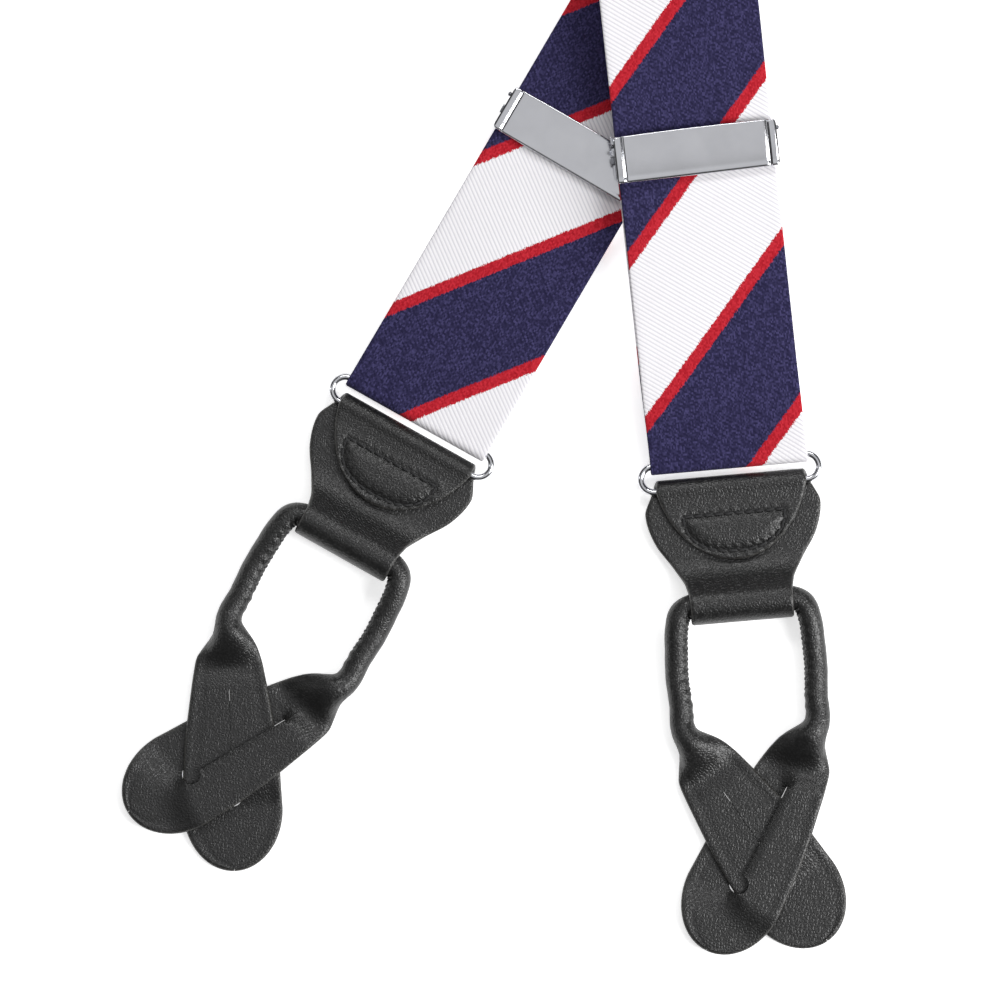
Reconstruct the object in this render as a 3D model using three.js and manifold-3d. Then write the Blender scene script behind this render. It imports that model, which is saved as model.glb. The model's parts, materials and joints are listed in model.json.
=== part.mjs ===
// Button-on dress braces, laid flat on a table with their front ends together.
//
// Two woven straps cross once near the front, run side by side to a leather patch at
// the back and go on there as one elastic strap. Each of the three ends carries a wire
// ring, a folded leather tab and a rolled leather loop whose two flat ears have
// buttonholes; one ear passes through the slit of the other. Each front strap folds
// round its ring and ends on the bar of a clamping adjuster that slides on the strap.
//
// Millimetres, +Z up. +Y runs along the braces from the front ends to the back end.
// An "end" has its own frame: x across, y from the ring towards the shoulder, z up,
// with the centre of the ring on the z axis.
import * as THREE from "three";
import { mergeVertices } from "three/addons/utils/BufferGeometryUtils.js";
import Module from "manifold-3d";

const wasm = await Module();
wasm.setup();

// ---------------------------------------------------------------- driving dimensions
const clearance = 0.3;
const layout = {
  heading: 18.35,
  leftReach: 124.7,
  rightReach: 119.3,
  shoulderChord: 570,
  backRingY: 735,
};
const strap = { width: 37.8, thickness: 1.0 };
const elastic = { width: 35, thickness: 1.2, hemLength: 19 };
const ring = { wireRadius: 0.8, barSpacing: 6.2, barInset: 0.6 };
const tab = {
  thickness: 1.5,
  foldPlay: 0.4,
  flapLength: 20.4,
  flapInset: 0.5,
  channelY: -31,
  neckHalfWidth: 12.3,
  shoulderOverhang: 2.7,
};
const loop = {
  thickness: 1.2,
  rolledHalfWidth: 6.6,
  wrapAngle: 330,
  coreRadius: 1.25,
  legHalfSpan: 16.6,
  crossingDrop: 58,
  leafAngle: 30.6,
  earTip: 28.8,
  earLength: 15,
  earHalfWidth: 12,
  leafHalfWidthAtCrossing: 11.3,
  leafHalfWidthAtRoll: 7.1,
};
const keyhole = { radius: 2.3, slitHalfWidth: 0.35, slitLength: 26.2, fromTip: 17.8 };
const adjuster = {
  place: 77.5,
  length: 11.3,
  wall: 0.5,
  plateThickness: 0.65,
  crown: 0.3,
  lipWidth: 2,
  lipRise: 0.35,
  pinRadius: 0.4,
  pinOverhang: 0.8,
  pinFromUpperEdge: 2.5,
  barThickness: 0.5,
  barWidth: 2.2,
};
const patch = {
  thickness: 1.5,
  frontY: -34,
  backY: 36,
  frontHalfWidth: 35,
  backHalfWidth: 20.5,
  strapEndY: 18,
};
const threadRadius = 0.25;
const threadGap = 0.1;

// ---------------------------------------------------------------- derived sizes
const ringZ = ring.wireRadius + tab.foldPlay + tab.thickness;
const tabFoldRadius = ring.wireRadius + tab.foldPlay + tab.thickness / 2;
const strapFoldRadius = ring.wireRadius + clearance + strap.thickness / 2;
const runZ = ringZ + strapFoldRadius;
const barY = ring.barSpacing / 2;
const barLength = strap.width - 2 * ring.barInset;
const flapHalf = strap.width / 2 - tab.flapInset;
const shoulderHalf = flapHalf + tab.shoulderOverhang;
const rollRadius = (2 * loop.rolledHalfWidth) / THREE.MathUtils.degToRad(loop.wrapAngle);
const rollOuter = rollRadius + loop.thickness / 2;
const channelRadius = rollOuter + clearance + tab.thickness / 2;
const channelZ = tab.thickness / 2 + channelRadius;
const tableRunZ = strap.thickness / 2 + 0.1;
const headingAngle = THREE.MathUtils.degToRad(layout.heading);
const shoulderRadius = layout.shoulderChord / (2 * Math.sin(headingAngle));
const patchStrapZ = patch.thickness + clearance + strap.thickness / 2;

const finishes = {
  ribbon: { color: 0x30304f, roughness: 0.75, metalness: 0 },
  elastic: { color: 0x1b1b1d, roughness: 0.85, metalness: 0 },
  leather: { color: 0x303030, roughness: 0.5, metalness: 0 },
  thread: { color: 0x161616, roughness: 0.8, metalness: 0 },
  cord: { color: 0xb9b2a2, roughness: 0.9, metalness: 0 },
  wire: { color: 0xc9cacc, roughness: 0.22, metalness: 1 },
  plate: { color: 0xc4c5c8, roughness: 0.28, metalness: 1 },
};

// ---------------------------------------------------------------- small helpers
const vector = (x, y, z) => new THREE.Vector3(x, y, z);
const mix = (a, b, t) => a + (b - a) * t;
const smooth = (from, to, x) => THREE.MathUtils.smoothstep(x, from, to);
const range = (count) => Array.from({ length: count }, (_, index) => index);
const spread = (from, to, steps) => range(steps + 1).map((i) => mix(from, to, i / steps));

function piece(name, geometry, finish) {
  const mesh = new THREE.Mesh(geometry, new THREE.MeshStandardMaterial(finishes[finish]));
  mesh.name = name;
  return mesh;
}

function frameGroup(name, x, y, z, turn = 0) {
  const group = new THREE.Group();
  group.name = name;
  group.position.set(x, y, z);
  group.rotation.z = turn;
  return group;
}

// Height gained up to x by a line that bends from level to a slope of 1 between two places.
function ramp(x, from, to) {
  if (x <= from) return 0;
  if (x >= to) return x - (from + to) / 2;
  return (x - from) ** 2 / (2 * (to - from));
}

// A smooth function through a few [x, value] knots in rising order of x.
function through(knots) {
  const slope = (i) => {
    const before = knots[Math.max(i - 1, 0)];
    const after = knots[Math.min(i + 1, knots.length - 1)];
    return (after[1] - before[1]) / (after[0] - before[0]);
  };
  return (x) => {
    if (x <= knots[0][0]) return knots[0][1];
    if (x >= knots[knots.length - 1][0]) return knots[knots.length - 1][1];
    const i = knots.findIndex((knot) => knot[0] > x) - 1;
    const step = knots[i + 1][0] - knots[i][0];
    const t = (x - knots[i][0]) / step;
    const rise = t * t * (3 - 2 * t);
    const bend = step * t * (1 - t);
    return mix(knots[i][1], knots[i + 1][1], rise) + bend * ((1 - t) * slope(i) - t * slope(i + 1));
  };
}

function toSolid(geometry) {
  const bare = geometry.clone();
  bare.deleteAttribute("normal");
  bare.deleteAttribute("uv");
  const merged = mergeVertices(bare, 1e-4);
  return new wasm.Manifold(new wasm.Mesh({
    numProp: 3,
    vertProperties: new Float32Array(merged.attributes.position.array),
    triVerts: new Uint32Array(merged.index.array),
  }));
}

function toGeometry(solid) {
  const mesh = solid.getMesh();
  const geometry = new THREE.BufferGeometry();
  geometry.setAttribute("position", new THREE.BufferAttribute(mesh.vertProperties, 3));
  geometry.setIndex(new THREE.BufferAttribute(mesh.triVerts, 1));
  return geometry;
}

function box(x0, x1, y0, y1, z0, z1) {
  const geometry = new THREE.BoxGeometry(x1 - x0, y1 - y0, z1 - z0);
  return geometry.translate((x0 + x1) / 2, (y0 + y1) / 2, (z0 + z1) / 2);
}

// A prism whose outline lies in the y-z plane and whose length runs along x.
function prismAcross(outline, x0, x1) {
  const options = { depth: x1 - x0, bevelEnabled: false, curveSegments: 6 };
  const geometry = new THREE.ExtrudeGeometry(outline, options);
  const turned = new THREE.Matrix4().makeBasis(vector(0, 1, 0), vector(0, 0, 1), vector(1, 0, 0));
  return geometry.applyMatrix4(turned).translate(x0, 0, 0);
}

function rounded(shape, points) {
  points.forEach(([x, y], index) => (index ? shape.lineTo(x, y) : shape.moveTo(x, y)));
  shape.closePath();
  return shape;
}

// A closed wire or thread along a closed curve.
function closedTube(curve, radius, steps, sides) {
  return new THREE.TubeGeometry(curve, steps, radius, sides, true);
}

function polygonCurve(points) {
  const path = new THREE.CurvePath();
  points.forEach((point, index) => {
    path.add(new THREE.LineCurve3(point, points[(index + 1) % points.length]));
  });
  return path;
}

// A strip of even thickness laid along stations: each has a point on its middle line,
// the direction across it, the normal of its upper face and half its width there.
function strip(stations, thickness, columns = 1) {
  const geometry = new THREE.BoxGeometry(1, 1, 1, columns, stations.length - 1, 1);
  const position = geometry.attributes.position;
  const place = new THREE.Vector3();
  for (let i = 0; i < position.count; i += 1) {
    const station = stations[Math.round((position.getY(i) + 0.5) * (stations.length - 1))];
    place.copy(station.point);
    place.addScaledVector(station.side, 2 * station.half * position.getX(i));
    place.addScaledVector(station.normal, thickness * position.getZ(i));
    position.setXYZ(i, place.x, place.y, place.z);
  }
  return geometry;
}

// Stations along a path in the y-z plane of an end, as for a tab or a hem: the path is a
// list of [y, z, half width], and the direction across is +x.
function foldStations(path) {
  return path.map(([y, z, half], index) => {
    const before = path[Math.max(index - 1, 0)];
    const after = path[Math.min(index + 1, path.length - 1)];
    const along = vector(0, after[0] - before[0], after[1] - before[1]).normalize();
    const side = vector(1, 0, 0);
    return { point: vector(0, y, z), side, normal: side.clone().cross(along), half };
  });
}

// Points [y, z] on an arc round a bar, from one angle to another, in degrees from +y.
function arcPath(y, z, radius, from, to, steps) {
  return spread(from, to, steps).map((degrees) => {
    const angle = THREE.MathUtils.degToRad(degrees);
    return [y + radius * Math.cos(angle), z + radius * Math.sin(angle)];
  });
}

// ---------------------------------------------------------------- ring, tab and loop
function ringGeometry() {
  const half = barLength / 2;
  const arc = (x, from) => range(9).map((i) => {
    const angle = from + (Math.PI * i) / 8;
    return vector(x + barY * Math.cos(angle), barY * Math.sin(angle), 0);
  });
  const outline = [...arc(half, -Math.PI / 2), ...arc(-half, Math.PI / 2)];
  const path = polygonCurve(outline);
  return closedTube(path, ring.wireRadius, 46, 8);
}

function tabHalfWidth(y) {
  const knots = [
    [tab.channelY - channelRadius, tab.neckHalfWidth],
    [tab.channelY + 4, tab.neckHalfWidth + 0.4],
    [-22, mix(tab.neckHalfWidth, shoulderHalf, 0.34)],
    [-15.6, mix(tab.neckHalfWidth, shoulderHalf, 0.8)],
    [-8.6, shoulderHalf],
    [-4.5, shoulderHalf - 1.6],
    [-2.4, flapHalf],
  ];
  return through(knots)(y);
}

// The flap narrows from the ring to its tip along a superellipse.
function flapHalfWidth(y) {
  const t = THREE.MathUtils.clamp(-(y + 0.4) / tab.flapLength, 0, 1);
  return Math.max(flapHalf * Math.sqrt(1 - t ** 1.7), 1.5);
}

// One strip of leather: the flap from its tip up to the ring, round the ring's lower bar,
// down behind, round the loop's roll, and back up in front until just below the bar.
function tabGeometry() {
  const flapTip = -0.4 - tab.flapLength;
  const flapZ = ringZ + tabFoldRadius;
  const flap = spread(0, 1, 12).map((t) => {
    const y = mix(flapTip, -barY, t ** 1.6);
    return [y, flapZ, flapHalfWidth(y)];
  });
  const fold = arcPath(-barY, ringZ, tabFoldRadius, 90, -90, 8).slice(1, -1);
  const back = spread(-barY, tab.channelY, 9).map((y) => [y, ringZ - tabFoldRadius]);
  const leave = 50;
  const channel = arcPath(tab.channelY, channelZ, channelRadius, 270, leave, 14).slice(1);
  const [leaveY, leaveZ] = channel[channel.length - 1];
  const slope = -1 / Math.tan(THREE.MathUtils.degToRad(leave));
  const footY = leaveY + (ringZ - leaveZ) / slope;
  const startY = mix(leaveY, footY, 0.45);
  const curve = new THREE.QuadraticBezierCurve3(
    vector(0, startY, leaveZ + slope * (startY - leaveY)),
    vector(0, footY, ringZ),
    vector(0, footY + 4, ringZ),
  );
  const rise = curve.getPoints(4).map((point) => [point.y, point.z]);
  const topY = -barY - ring.wireRadius - clearance;
  const front = spread(footY + 4, topY, 5).slice(1).map((y) => [y, ringZ]);
  const rest = [...fold, ...back, ...channel, ...rise, ...front];
  const path = [...flap, ...rest.map(([y, z]) => [y, z, tabHalfWidth(y)])];
  return strip(foldStations(path), tab.thickness, 2);
}

// A D-shaped seam on the flap: a straight line across and a curve below it.
function tabThreadGeometry() {
  const halfWidth = 0.66 * flapHalf;
  const top = -0.4 - 0.45 * tab.flapLength;
  const depth = 0.44 * tab.flapLength;
  const z = ringZ + tabFoldRadius + tab.thickness / 2 + threadGap + threadRadius;
  const curve = spread(0, Math.PI, 14).map((angle) => {
    const x = halfWidth * Math.sign(Math.cos(angle)) * Math.abs(Math.cos(angle)) ** 0.85;
    return vector(x, top - depth * Math.sin(angle) ** 0.85, z);
  });
  return closedTube(polygonCurve(curve), threadRadius, 44, 5);
}

// Half of the loop's middle line, from the middle of the channel to the tip of an ear.
const leafAngle = THREE.MathUtils.degToRad(loop.leafAngle);
function onLeaf(fromCrossing) {
  const x = -Math.sin(leafAngle) * fromCrossing;
  return vector(x, -loop.crossingDrop - Math.cos(leafAngle) * fromCrossing, 0);
}
const halfLoop = [
  vector(0, 0, 0),
  vector(6, 0, 0),
  vector(loop.legHalfSpan - 5.0, 0, 0),
  vector(loop.legHalfSpan - 2.0, -1.4, 0),
  vector(loop.legHalfSpan - 0.7, -5, 0),
  vector(loop.legHalfSpan - 0.2, -11, 0),
  vector(loop.legHalfSpan, -17, 0),
  vector(loop.legHalfSpan - 0.4, -23.5, 0),
  onLeaf(-31.6),
  onLeaf(-23),
  onLeaf(-11.5),
  onLeaf(0),
  onLeaf(9),
  onLeaf(18),
  onLeaf(loop.earTip),
];
// The whole middle line of a loop: straight in the channel, the rest swung by an angle.
function loopMiddleLine(sway) {
  const swung = (point, hand) => {
    const turned = vector(hand * point.x, point.y, 0);
    return turned.applyAxisAngle(vector(0, 0, 1), sway * smooth(2, 20, -point.y));
  };
  const left = halfLoop.slice(1).reverse().map((point) => swung(point, -1));
  const right = halfLoop.map((point) => swung(point, 1));
  const curve = new THREE.CatmullRomCurve3([...left, ...right], false, "centripetal");
  curve.arcLengthDivisions = 1000;
  return curve;
}

// Levels of the flat leaves above the table, where one passes through the other's slit.
const level = (layer) => loop.thickness / 2 + layer * (loop.thickness + clearance);
const passing = { low: level(0), start: level(0.6), middle: level(1), high: level(2) };
const rolledFrom = 64;
const flatUpTo = 48;
const seamTurnedFrom = 72;
const unrollLift = 8.6;

// Height of the leaves' middle surface: fromCrossing grows towards the ear. The second
// leaf parts along its slit: the half with positive across passes under the first leaf
// and the other half over it, and beyond the slit's two ends the leaf is only tilted.
const slitFrom = loop.earTip - keyhole.fromTip - keyhole.slitLength;
const slitTo = loop.earTip - keyhole.fromTip + keyhole.radius;
function leafHeight(isSecond, fromCrossing, across) {
  const base = mix(passing.start, passing.middle, smooth(-20, -15.5, fromCrossing));
  if (!isSecond) return mix(base, passing.low, smooth(6.5, 14, fromCrossing));
  const opened = smooth(slitFrom - 8, slitFrom - 1.8, fromCrossing);
  const parting = opened * (1 - smooth(slitTo + 0.7, slitTo + 9, fromCrossing));
  const easing = 0.05 + 0.9 * Math.max(slitFrom - fromCrossing, fromCrossing - slitTo, 0);
  return base - (passing.high - passing.middle) * parting * across / Math.hypot(across, easing);
}

// Where a point of the flat pattern goes: along from one ear's tip to the other's, across
// from the pattern's middle line, and out from its middle surface.
function rollUp(line, along, across, out) {
  const loopLength = line.getLength();
  const t = THREE.MathUtils.clamp(along / loopLength, 0, 1);
  const fromTip = Math.min(along, loopLength - along);
  const axis = line.getPointAt(t);
  const tangent = line.getTangentAt(t);
  const up = vector(0, 0, 1);
  const outward = up.clone().cross(tangent);
  const curl = smooth(flatUpTo, rolledFrom, fromTip);
  const turn = (Math.PI / 2) * smooth(flatUpTo + 2, seamTurnedFrom, fromTip);
  const normal = up.clone().multiplyScalar(Math.cos(turn)).addScaledVector(outward, Math.sin(turn));
  const side = tangent.clone().cross(normal);
  const wrap = Math.max(THREE.MathUtils.degToRad(loop.wrapAngle) * curl, 0.01);
  const radius = (2 * loop.rolledHalfWidth) / wrap;
  const angle = across / radius;
  const flatZ = leafHeight(along > loopLength / 2, loop.earTip - fromTip, across);
  const legZ = mix(rollOuter + 0.1, channelZ, smooth(-17, -1, axis.y));
  axis.z = mix(flatZ, legZ, curl) + unrollLift * curl * (1 - curl) - channelZ;
  axis.addScaledVector(normal, rollRadius * curl);
  axis.addScaledVector(side, (radius + out) * Math.sin(angle));
  return axis.addScaledVector(normal, (radius + out) * Math.cos(angle) - radius);
}

// Half the pattern's width: half an ellipse at the ear's tip, then a long taper.
function loopHalfWidth(fromTip) {
  const toWidest = Math.max(loop.earLength - fromTip, 0) / loop.earLength;
  const ear = Math.max(loop.earHalfWidth * Math.sqrt(1 - toWidest ** 2), 1.5);
  const leaf = through([
    [loop.earLength, loop.earHalfWidth],
    [loop.earTip, loop.leafHalfWidthAtCrossing],
    [rolledFrom - 19, mix(loop.leafHalfWidthAtCrossing, loop.leafHalfWidthAtRoll, 0.55)],
    [rolledFrom - 8, loop.leafHalfWidthAtRoll],
    [rolledFrom, loop.rolledHalfWidth],
  ]);
  return fromTip < loop.earLength ? ear : leaf(fromTip);
}

// The buttonhole of one ear, as a prism through the flat pattern.
function keyholeSolid() {
  const shape = new THREE.Shape();
  const edge = Math.asin(keyhole.slitHalfWidth / keyhole.radius);
  shape.absarc(0, 0, keyhole.radius, Math.PI / 2 + edge, Math.PI / 2 - edge + 2 * Math.PI, false);
  shape.lineTo(keyhole.slitHalfWidth, keyhole.slitLength);
  shape.lineTo(-keyhole.slitHalfWidth, keyhole.slitLength);
  shape.closePath();
  const depth = 4 * loop.thickness;
  const options = { depth, bevelEnabled: false, curveSegments: 5 };
  return new THREE.ExtrudeGeometry(shape, options).translate(0, 0, -depth / 2);
}

function loopGeometry(line) {
  const loopLength = line.getLength();
  const fromTips = [
    ...[0, 0.02, 0.08, 0.2, 0.33, 0.47, 0.6, 0.73, 0.86, 1].map((share) => share * loop.earLength),
    ...spread(loop.earLength, flatUpTo, 13).slice(1),
    ...spread(flatUpTo, rolledFrom, 6).slice(1),
    ...spread(rolledFrom, loopLength / 2 - 22, 5).slice(1),
    ...spread(loopLength / 2 - 22, loopLength / 2 - 11, 5).slice(1),
    loopLength / 2,
  ];
  const places = [...fromTips, ...fromTips.slice(0, -1).reverse().map((value) => loopLength - value)];
  const flat = strip(places.map((along) => ({
    point: vector(0, along, 0),
    side: vector(1, 0, 0),
    normal: vector(0, 0, 1),
    half: loopHalfWidth(Math.min(along, loopLength - along)),
  })), loop.thickness, 8);
  const first = keyholeSolid().translate(0, keyhole.fromTip, 0);
  const second = keyholeSolid().rotateZ(Math.PI).translate(0, loopLength - keyhole.fromTip, 0);
  const cut = toGeometry(toSolid(flat).subtract(toSolid(first)).subtract(toSolid(second)));
  const position = cut.attributes.position;
  for (let i = 0; i < position.count; i += 1) {
    const place = rollUp(line, position.getY(i), position.getX(i), position.getZ(i));
    position.setXYZ(i, place.x, place.y, place.z);
  }
  return cut;
}

// A cord or thread inside the rolled stretch, at a distance in from the roll's own wall.
function rolledTube(line, radius, inset, sides) {
  const start = rolledFrom + 3;
  const points = spread(start, line.getLength() - start, 30).map((along) => rollUp(line, along, 0, -inset));
  const path = new THREE.CatmullRomCurve3(points, false, "centripetal");
  const section = new THREE.Shape();
  section.absarc(0, 0, radius, 0, 2 * Math.PI, false);
  const options = { extrudePath: path, steps: 30, curveSegments: sides, bevelEnabled: false };
  return new THREE.ExtrudeGeometry(section, options);
}

// Ring, tab and loop of one end: the tab swings on the ring, the loop in the tab.
function buttonEnd(name, ringSway, loopSway) {
  const ringFrame = frameGroup(`${name}_ring_frame`, 0, 0, 0, ringSway);
  ringFrame.add(piece(`${name}_ring`, ringGeometry().translate(0, 0, ringZ), "wire"));
  ringFrame.add(piece(`${name}_tab_leather`, tabGeometry(), "leather"));
  ringFrame.add(piece(`${name}_tab_stitch_thread`, tabThreadGeometry(), "thread"));
  const loopFrame = frameGroup(`${name}_loop_frame`, 0, tab.channelY, channelZ);
  const line = loopMiddleLine(loopSway);
  loopFrame.add(piece(`${name}_loop_leather`, loopGeometry(line), "leather"));
  loopFrame.add(piece(`${name}_loop_core_cord`, rolledTube(line, loop.coreRadius, rollRadius, 3), "cord"));
  const seamInset = 2 * rollRadius;
  loopFrame.add(piece(`${name}_loop_seam_thread`, rolledTube(line, threadRadius, seamInset, 2), "thread"));
  ringFrame.add(loopFrame);
  return ringFrame;
}

// ---------------------------------------------------------------- straps
// The middle line of a front strap in its end's frame: straight to the crossing, then one
// even arc to the patch, with bends up and down given as changes of slope.
function strapSpine(end) {
  const turn = end.side;
  return (distance) => {
    const beyond = Math.max(distance - end.reach, 0);
    const arc = Math.min(beyond / shoulderRadius, 2 * headingAngle);
    const rest = Math.max(beyond - 2 * headingAngle * shoulderRadius, 0);
    const straight = Math.min(distance, end.reach);
    const x = turn * (shoulderRadius * (1 - Math.cos(arc)) + rest * Math.sin(arc));
    const y = straight + shoulderRadius * Math.sin(arc) + rest * Math.cos(arc);
    const gained = end.bends.map((bend) => bend.slope * ramp(distance, bend.from, bend.to));
    const z = gained.reduce((sum, height) => sum + height, runZ);
    return vector(x, y, z);
  };
}

// Point, along, side and normal of the strap's upper face at a distance from the ring.
function strapStation(end, distance) {
  const spine = strapSpine(end);
  const along = spine(distance + 0.05).sub(spine(distance - 0.05)).normalize();
  const sway = end.ringSway * (1 - smooth(barY, 25, distance));
  const level = vector(along.y, -along.x, 0).normalize().applyAxisAngle(vector(0, 0, 1), sway);
  const roll = end.roll * smooth(barY, 30, distance) * (1 - smooth(115, 200, distance));
  const side = level.applyAxisAngle(along, roll);
  const point = spine(distance);
  point.x -= Math.sin(end.ringSway) * barY * (1 - smooth(barY, 25, distance));
  return { point, along, side, normal: side.clone().cross(along), half: strap.width / 2 };
}

function turnStation(end, y, z, along) {
  const up = vector(0, 0, 1);
  const side = vector(1, 0, 0).applyAxisAngle(up, end.ringSway);
  const direction = along.clone().applyAxisAngle(up, end.ringSway);
  const point = vector(0, y, z).applyAxisAngle(up, end.ringSway);
  return { point, side, normal: side.clone().cross(direction), half: strap.width / 2 };
}

function strapGeometry(end) {
  const stub = [barY + 1.4, barY + 0.05].map((y) => (
    turnStation(end, y, ringZ - strapFoldRadius, vector(0, -1, 0))
  ));
  const fold = spread(-90, -270, 8).map((degrees) => {
    const angle = THREE.MathUtils.degToRad(degrees);
    const y = barY + strapFoldRadius * Math.cos(angle);
    const z = ringZ + strapFoldRadius * Math.sin(angle);
    return turnStation(end, y, z, vector(0, Math.sin(angle), -Math.cos(angle)));
  });
  const straightTo = end.reach + 4;
  const total = end.reach + 2 * headingAngle * shoulderRadius + 30;
  const distances = [
    ...spread(barY + 1.5, 32, 8),
    ...spread(32, straightTo, 8).slice(1),
    ...spread(straightTo, total, 34).slice(1),
  ];
  const run = distances.map((distance) => strapStation(end, distance));
  const whole = toSolid(strip([...stub, ...fold, ...run], strap.thickness));
  const halfGap = clearance / 2;
  const far = 2 * layout.shoulderChord;
  const inside = end.side > 0 ? [-halfGap, far] : [-far, halfGap];
  const mitre = box(...inside, layout.shoulderChord - 90, far, -far, far);
  const beyond = box(-far, far, layout.shoulderChord + patch.strapEndY, far, -far, far);
  const toEnd = new THREE.Matrix4().makeRotationZ(-end.heading).setPosition(end.x, end.y, 0).invert();
  const cutters = [mitre, beyond].map((cutter) => toSolid(cutter.applyMatrix4(toEnd)));
  return toGeometry(cutters.reduce((rest, cutter) => rest.subtract(cutter), whole));
}

// ---------------------------------------------------------------- adjusters
// In an adjuster's frame the strap's middle surface is z = 0 and +y leads to the shoulder.
const halfStrap = strap.thickness / 2;
const tailUpperZ = -(strap.thickness + clearance);
const tailLowerZ = tailUpperZ - strap.thickness - 2 * clearance - adjuster.barThickness;
const barZ = (tailUpperZ + tailLowerZ) / 2;
const tailBarY = -0.6;
const pinY = adjuster.length / 2 - adjuster.pinFromUpperEdge;
const pinHoleRadius = adjuster.pinRadius + 0.2;
const pinZ = halfStrap + 0.15 + 0.35 + pinHoleRadius;
const wallInner = strap.width / 2 + 0.2;
const wallOuter = wallInner + adjuster.wall;
const pinHalfLength = wallOuter + adjuster.pinOverhang;
const plateZ = pinZ + pinHoleRadius - 0.2;

function holeIn(shape, y, z, radius) {
  const hole = new THREE.Path();
  hole.absarc(y, z, radius, 0, 2 * Math.PI, true);
  shape.holes.push(hole);
}

// Two side walls with ears for the pin, a slot for the tail bar and one clamping strip.
function adjusterFrameGeometry() {
  const half = adjuster.length / 2 - 0.5;
  const wallTop = plateZ - 0.9;
  const earTop = pinZ + pinHoleRadius + 0.4;
  const earHalf = pinHoleRadius + 0.5;
  const outline = rounded(new THREE.Shape(), [
    [-half, tailLowerZ], [half, tailLowerZ], [half, wallTop], [pinY + earHalf, wallTop],
    [pinY + earHalf - 0.3, earTop], [pinY - earHalf + 0.3, earTop],
    [pinY - earHalf, wallTop], [-half, wallTop],
  ]);
  holeIn(outline, pinY, pinZ, pinHoleRadius);
  const barHalf = adjuster.barWidth / 2 + 0.25;
  const barHalfHeight = adjuster.barThickness / 2 + 0.25;
  outline.holes.push(rounded(new THREE.Path(), [
    [tailBarY - barHalf, barZ - barHalfHeight], [tailBarY - barHalf, barZ + barHalfHeight],
    [tailBarY + barHalf, barZ + barHalfHeight], [tailBarY + barHalf, barZ - barHalfHeight],
  ]));
  const right = toSolid(prismAcross(outline, wallInner, wallOuter));
  const left = toSolid(prismAcross(outline, -wallOuter, -wallInner));
  const stripTop = -halfStrap - clearance;
  const reach = wallInner + adjuster.wall / 2;
  const clampingStrip = toSolid(box(-reach, reach, half - 2, half - 0.2, stripTop - 0.8, stripTop));
  return toGeometry(right.add(left).add(clampingStrip));
}

// The cover lever: a crowned plate with a rolled front edge, raised lips at both ends,
// cheeks on the pin and a row that presses on the strap.
function leverGeometry() {
  const half = adjuster.length / 2;
  const bottom = (y) => plateZ + adjuster.crown * (1 - (y / half) ** 2);
  const outline = (rise) => {
    const places = spread(-half, half, 8);
    const upper = places.map((y) => [y, bottom(y) + adjuster.plateThickness + rise]);
    const lower = places.slice().reverse().map((y) => [y, bottom(y)]);
    const rolledEdge = [[-half - 0.25, plateZ + 0.1 + rise / 2]];
    return rounded(new THREE.Shape(), [...rolledEdge, ...upper, ...lower]);
  };
  let lever = toSolid(prismAcross(outline(0), -wallOuter, wallOuter));
  const lipInner = wallOuter - adjuster.lipWidth;
  lever = lever.add(toSolid(prismAcross(outline(adjuster.lipRise), lipInner, wallOuter)));
  lever = lever.add(toSolid(prismAcross(outline(adjuster.lipRise), -wallOuter, -lipInner)));
  const cheek = rounded(new THREE.Shape(), [
    [pinY - 1.3, plateZ + 0.4], [pinY - 0.7, halfStrap + 0.15],
    [pinY + 0.7, halfStrap + 0.15], [pinY + 1.3, plateZ + 0.4],
  ]);
  const cheekOuter = wallInner - clearance;
  lever = lever.add(toSolid(prismAcross(cheek, cheekOuter - 0.8, cheekOuter)));
  lever = lever.add(toSolid(prismAcross(cheek, -cheekOuter, 0.8 - cheekOuter)));
  const pressingY = pinY - 1.6;
  const pressingFoot = halfStrap + 0.15;
  const pressing = box(-cheekOuter, cheekOuter, pressingY - 0.3, pressingY + 0.3, pressingFoot, plateZ + 0.4);
  lever = lever.add(toSolid(pressing));
  const bore = new THREE.Shape();
  bore.absarc(pinY, pinZ, pinHoleRadius, 0, 2 * Math.PI, false);
  lever = lever.subtract(toSolid(prismAcross(bore, -wallOuter - 1, wallOuter + 1)));
  const notchHalf = pinHoleRadius + 0.5 + clearance;
  [-1, 1].forEach((hand) => {
    const [x0, x1] = [hand * (wallInner - 0.15), hand * (wallOuter + 1)].sort((a, b) => a - b);
    lever = lever.subtract(toSolid(box(x0, x1, pinY - notchHalf, pinY + notchHalf, 0, plateZ + 3)));
  });
  return toGeometry(lever);
}

function pinGeometry() {
  const radius = adjuster.pinRadius;
  const geometry = new THREE.CylinderGeometry(radius, radius, 2 * pinHalfLength, 10);
  return geometry.rotateZ(Math.PI / 2).translate(0, pinY, pinZ);
}

function tailBarGeometry() {
  const halfWidth = adjuster.barWidth / 2;
  const halfHeight = adjuster.barThickness / 2;
  const reach = pinHalfLength - 0.3;
  const [low, high] = [barZ - halfHeight, barZ + halfHeight];
  return box(-reach, reach, tailBarY - halfWidth, tailBarY + halfWidth, low, high);
}

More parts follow.
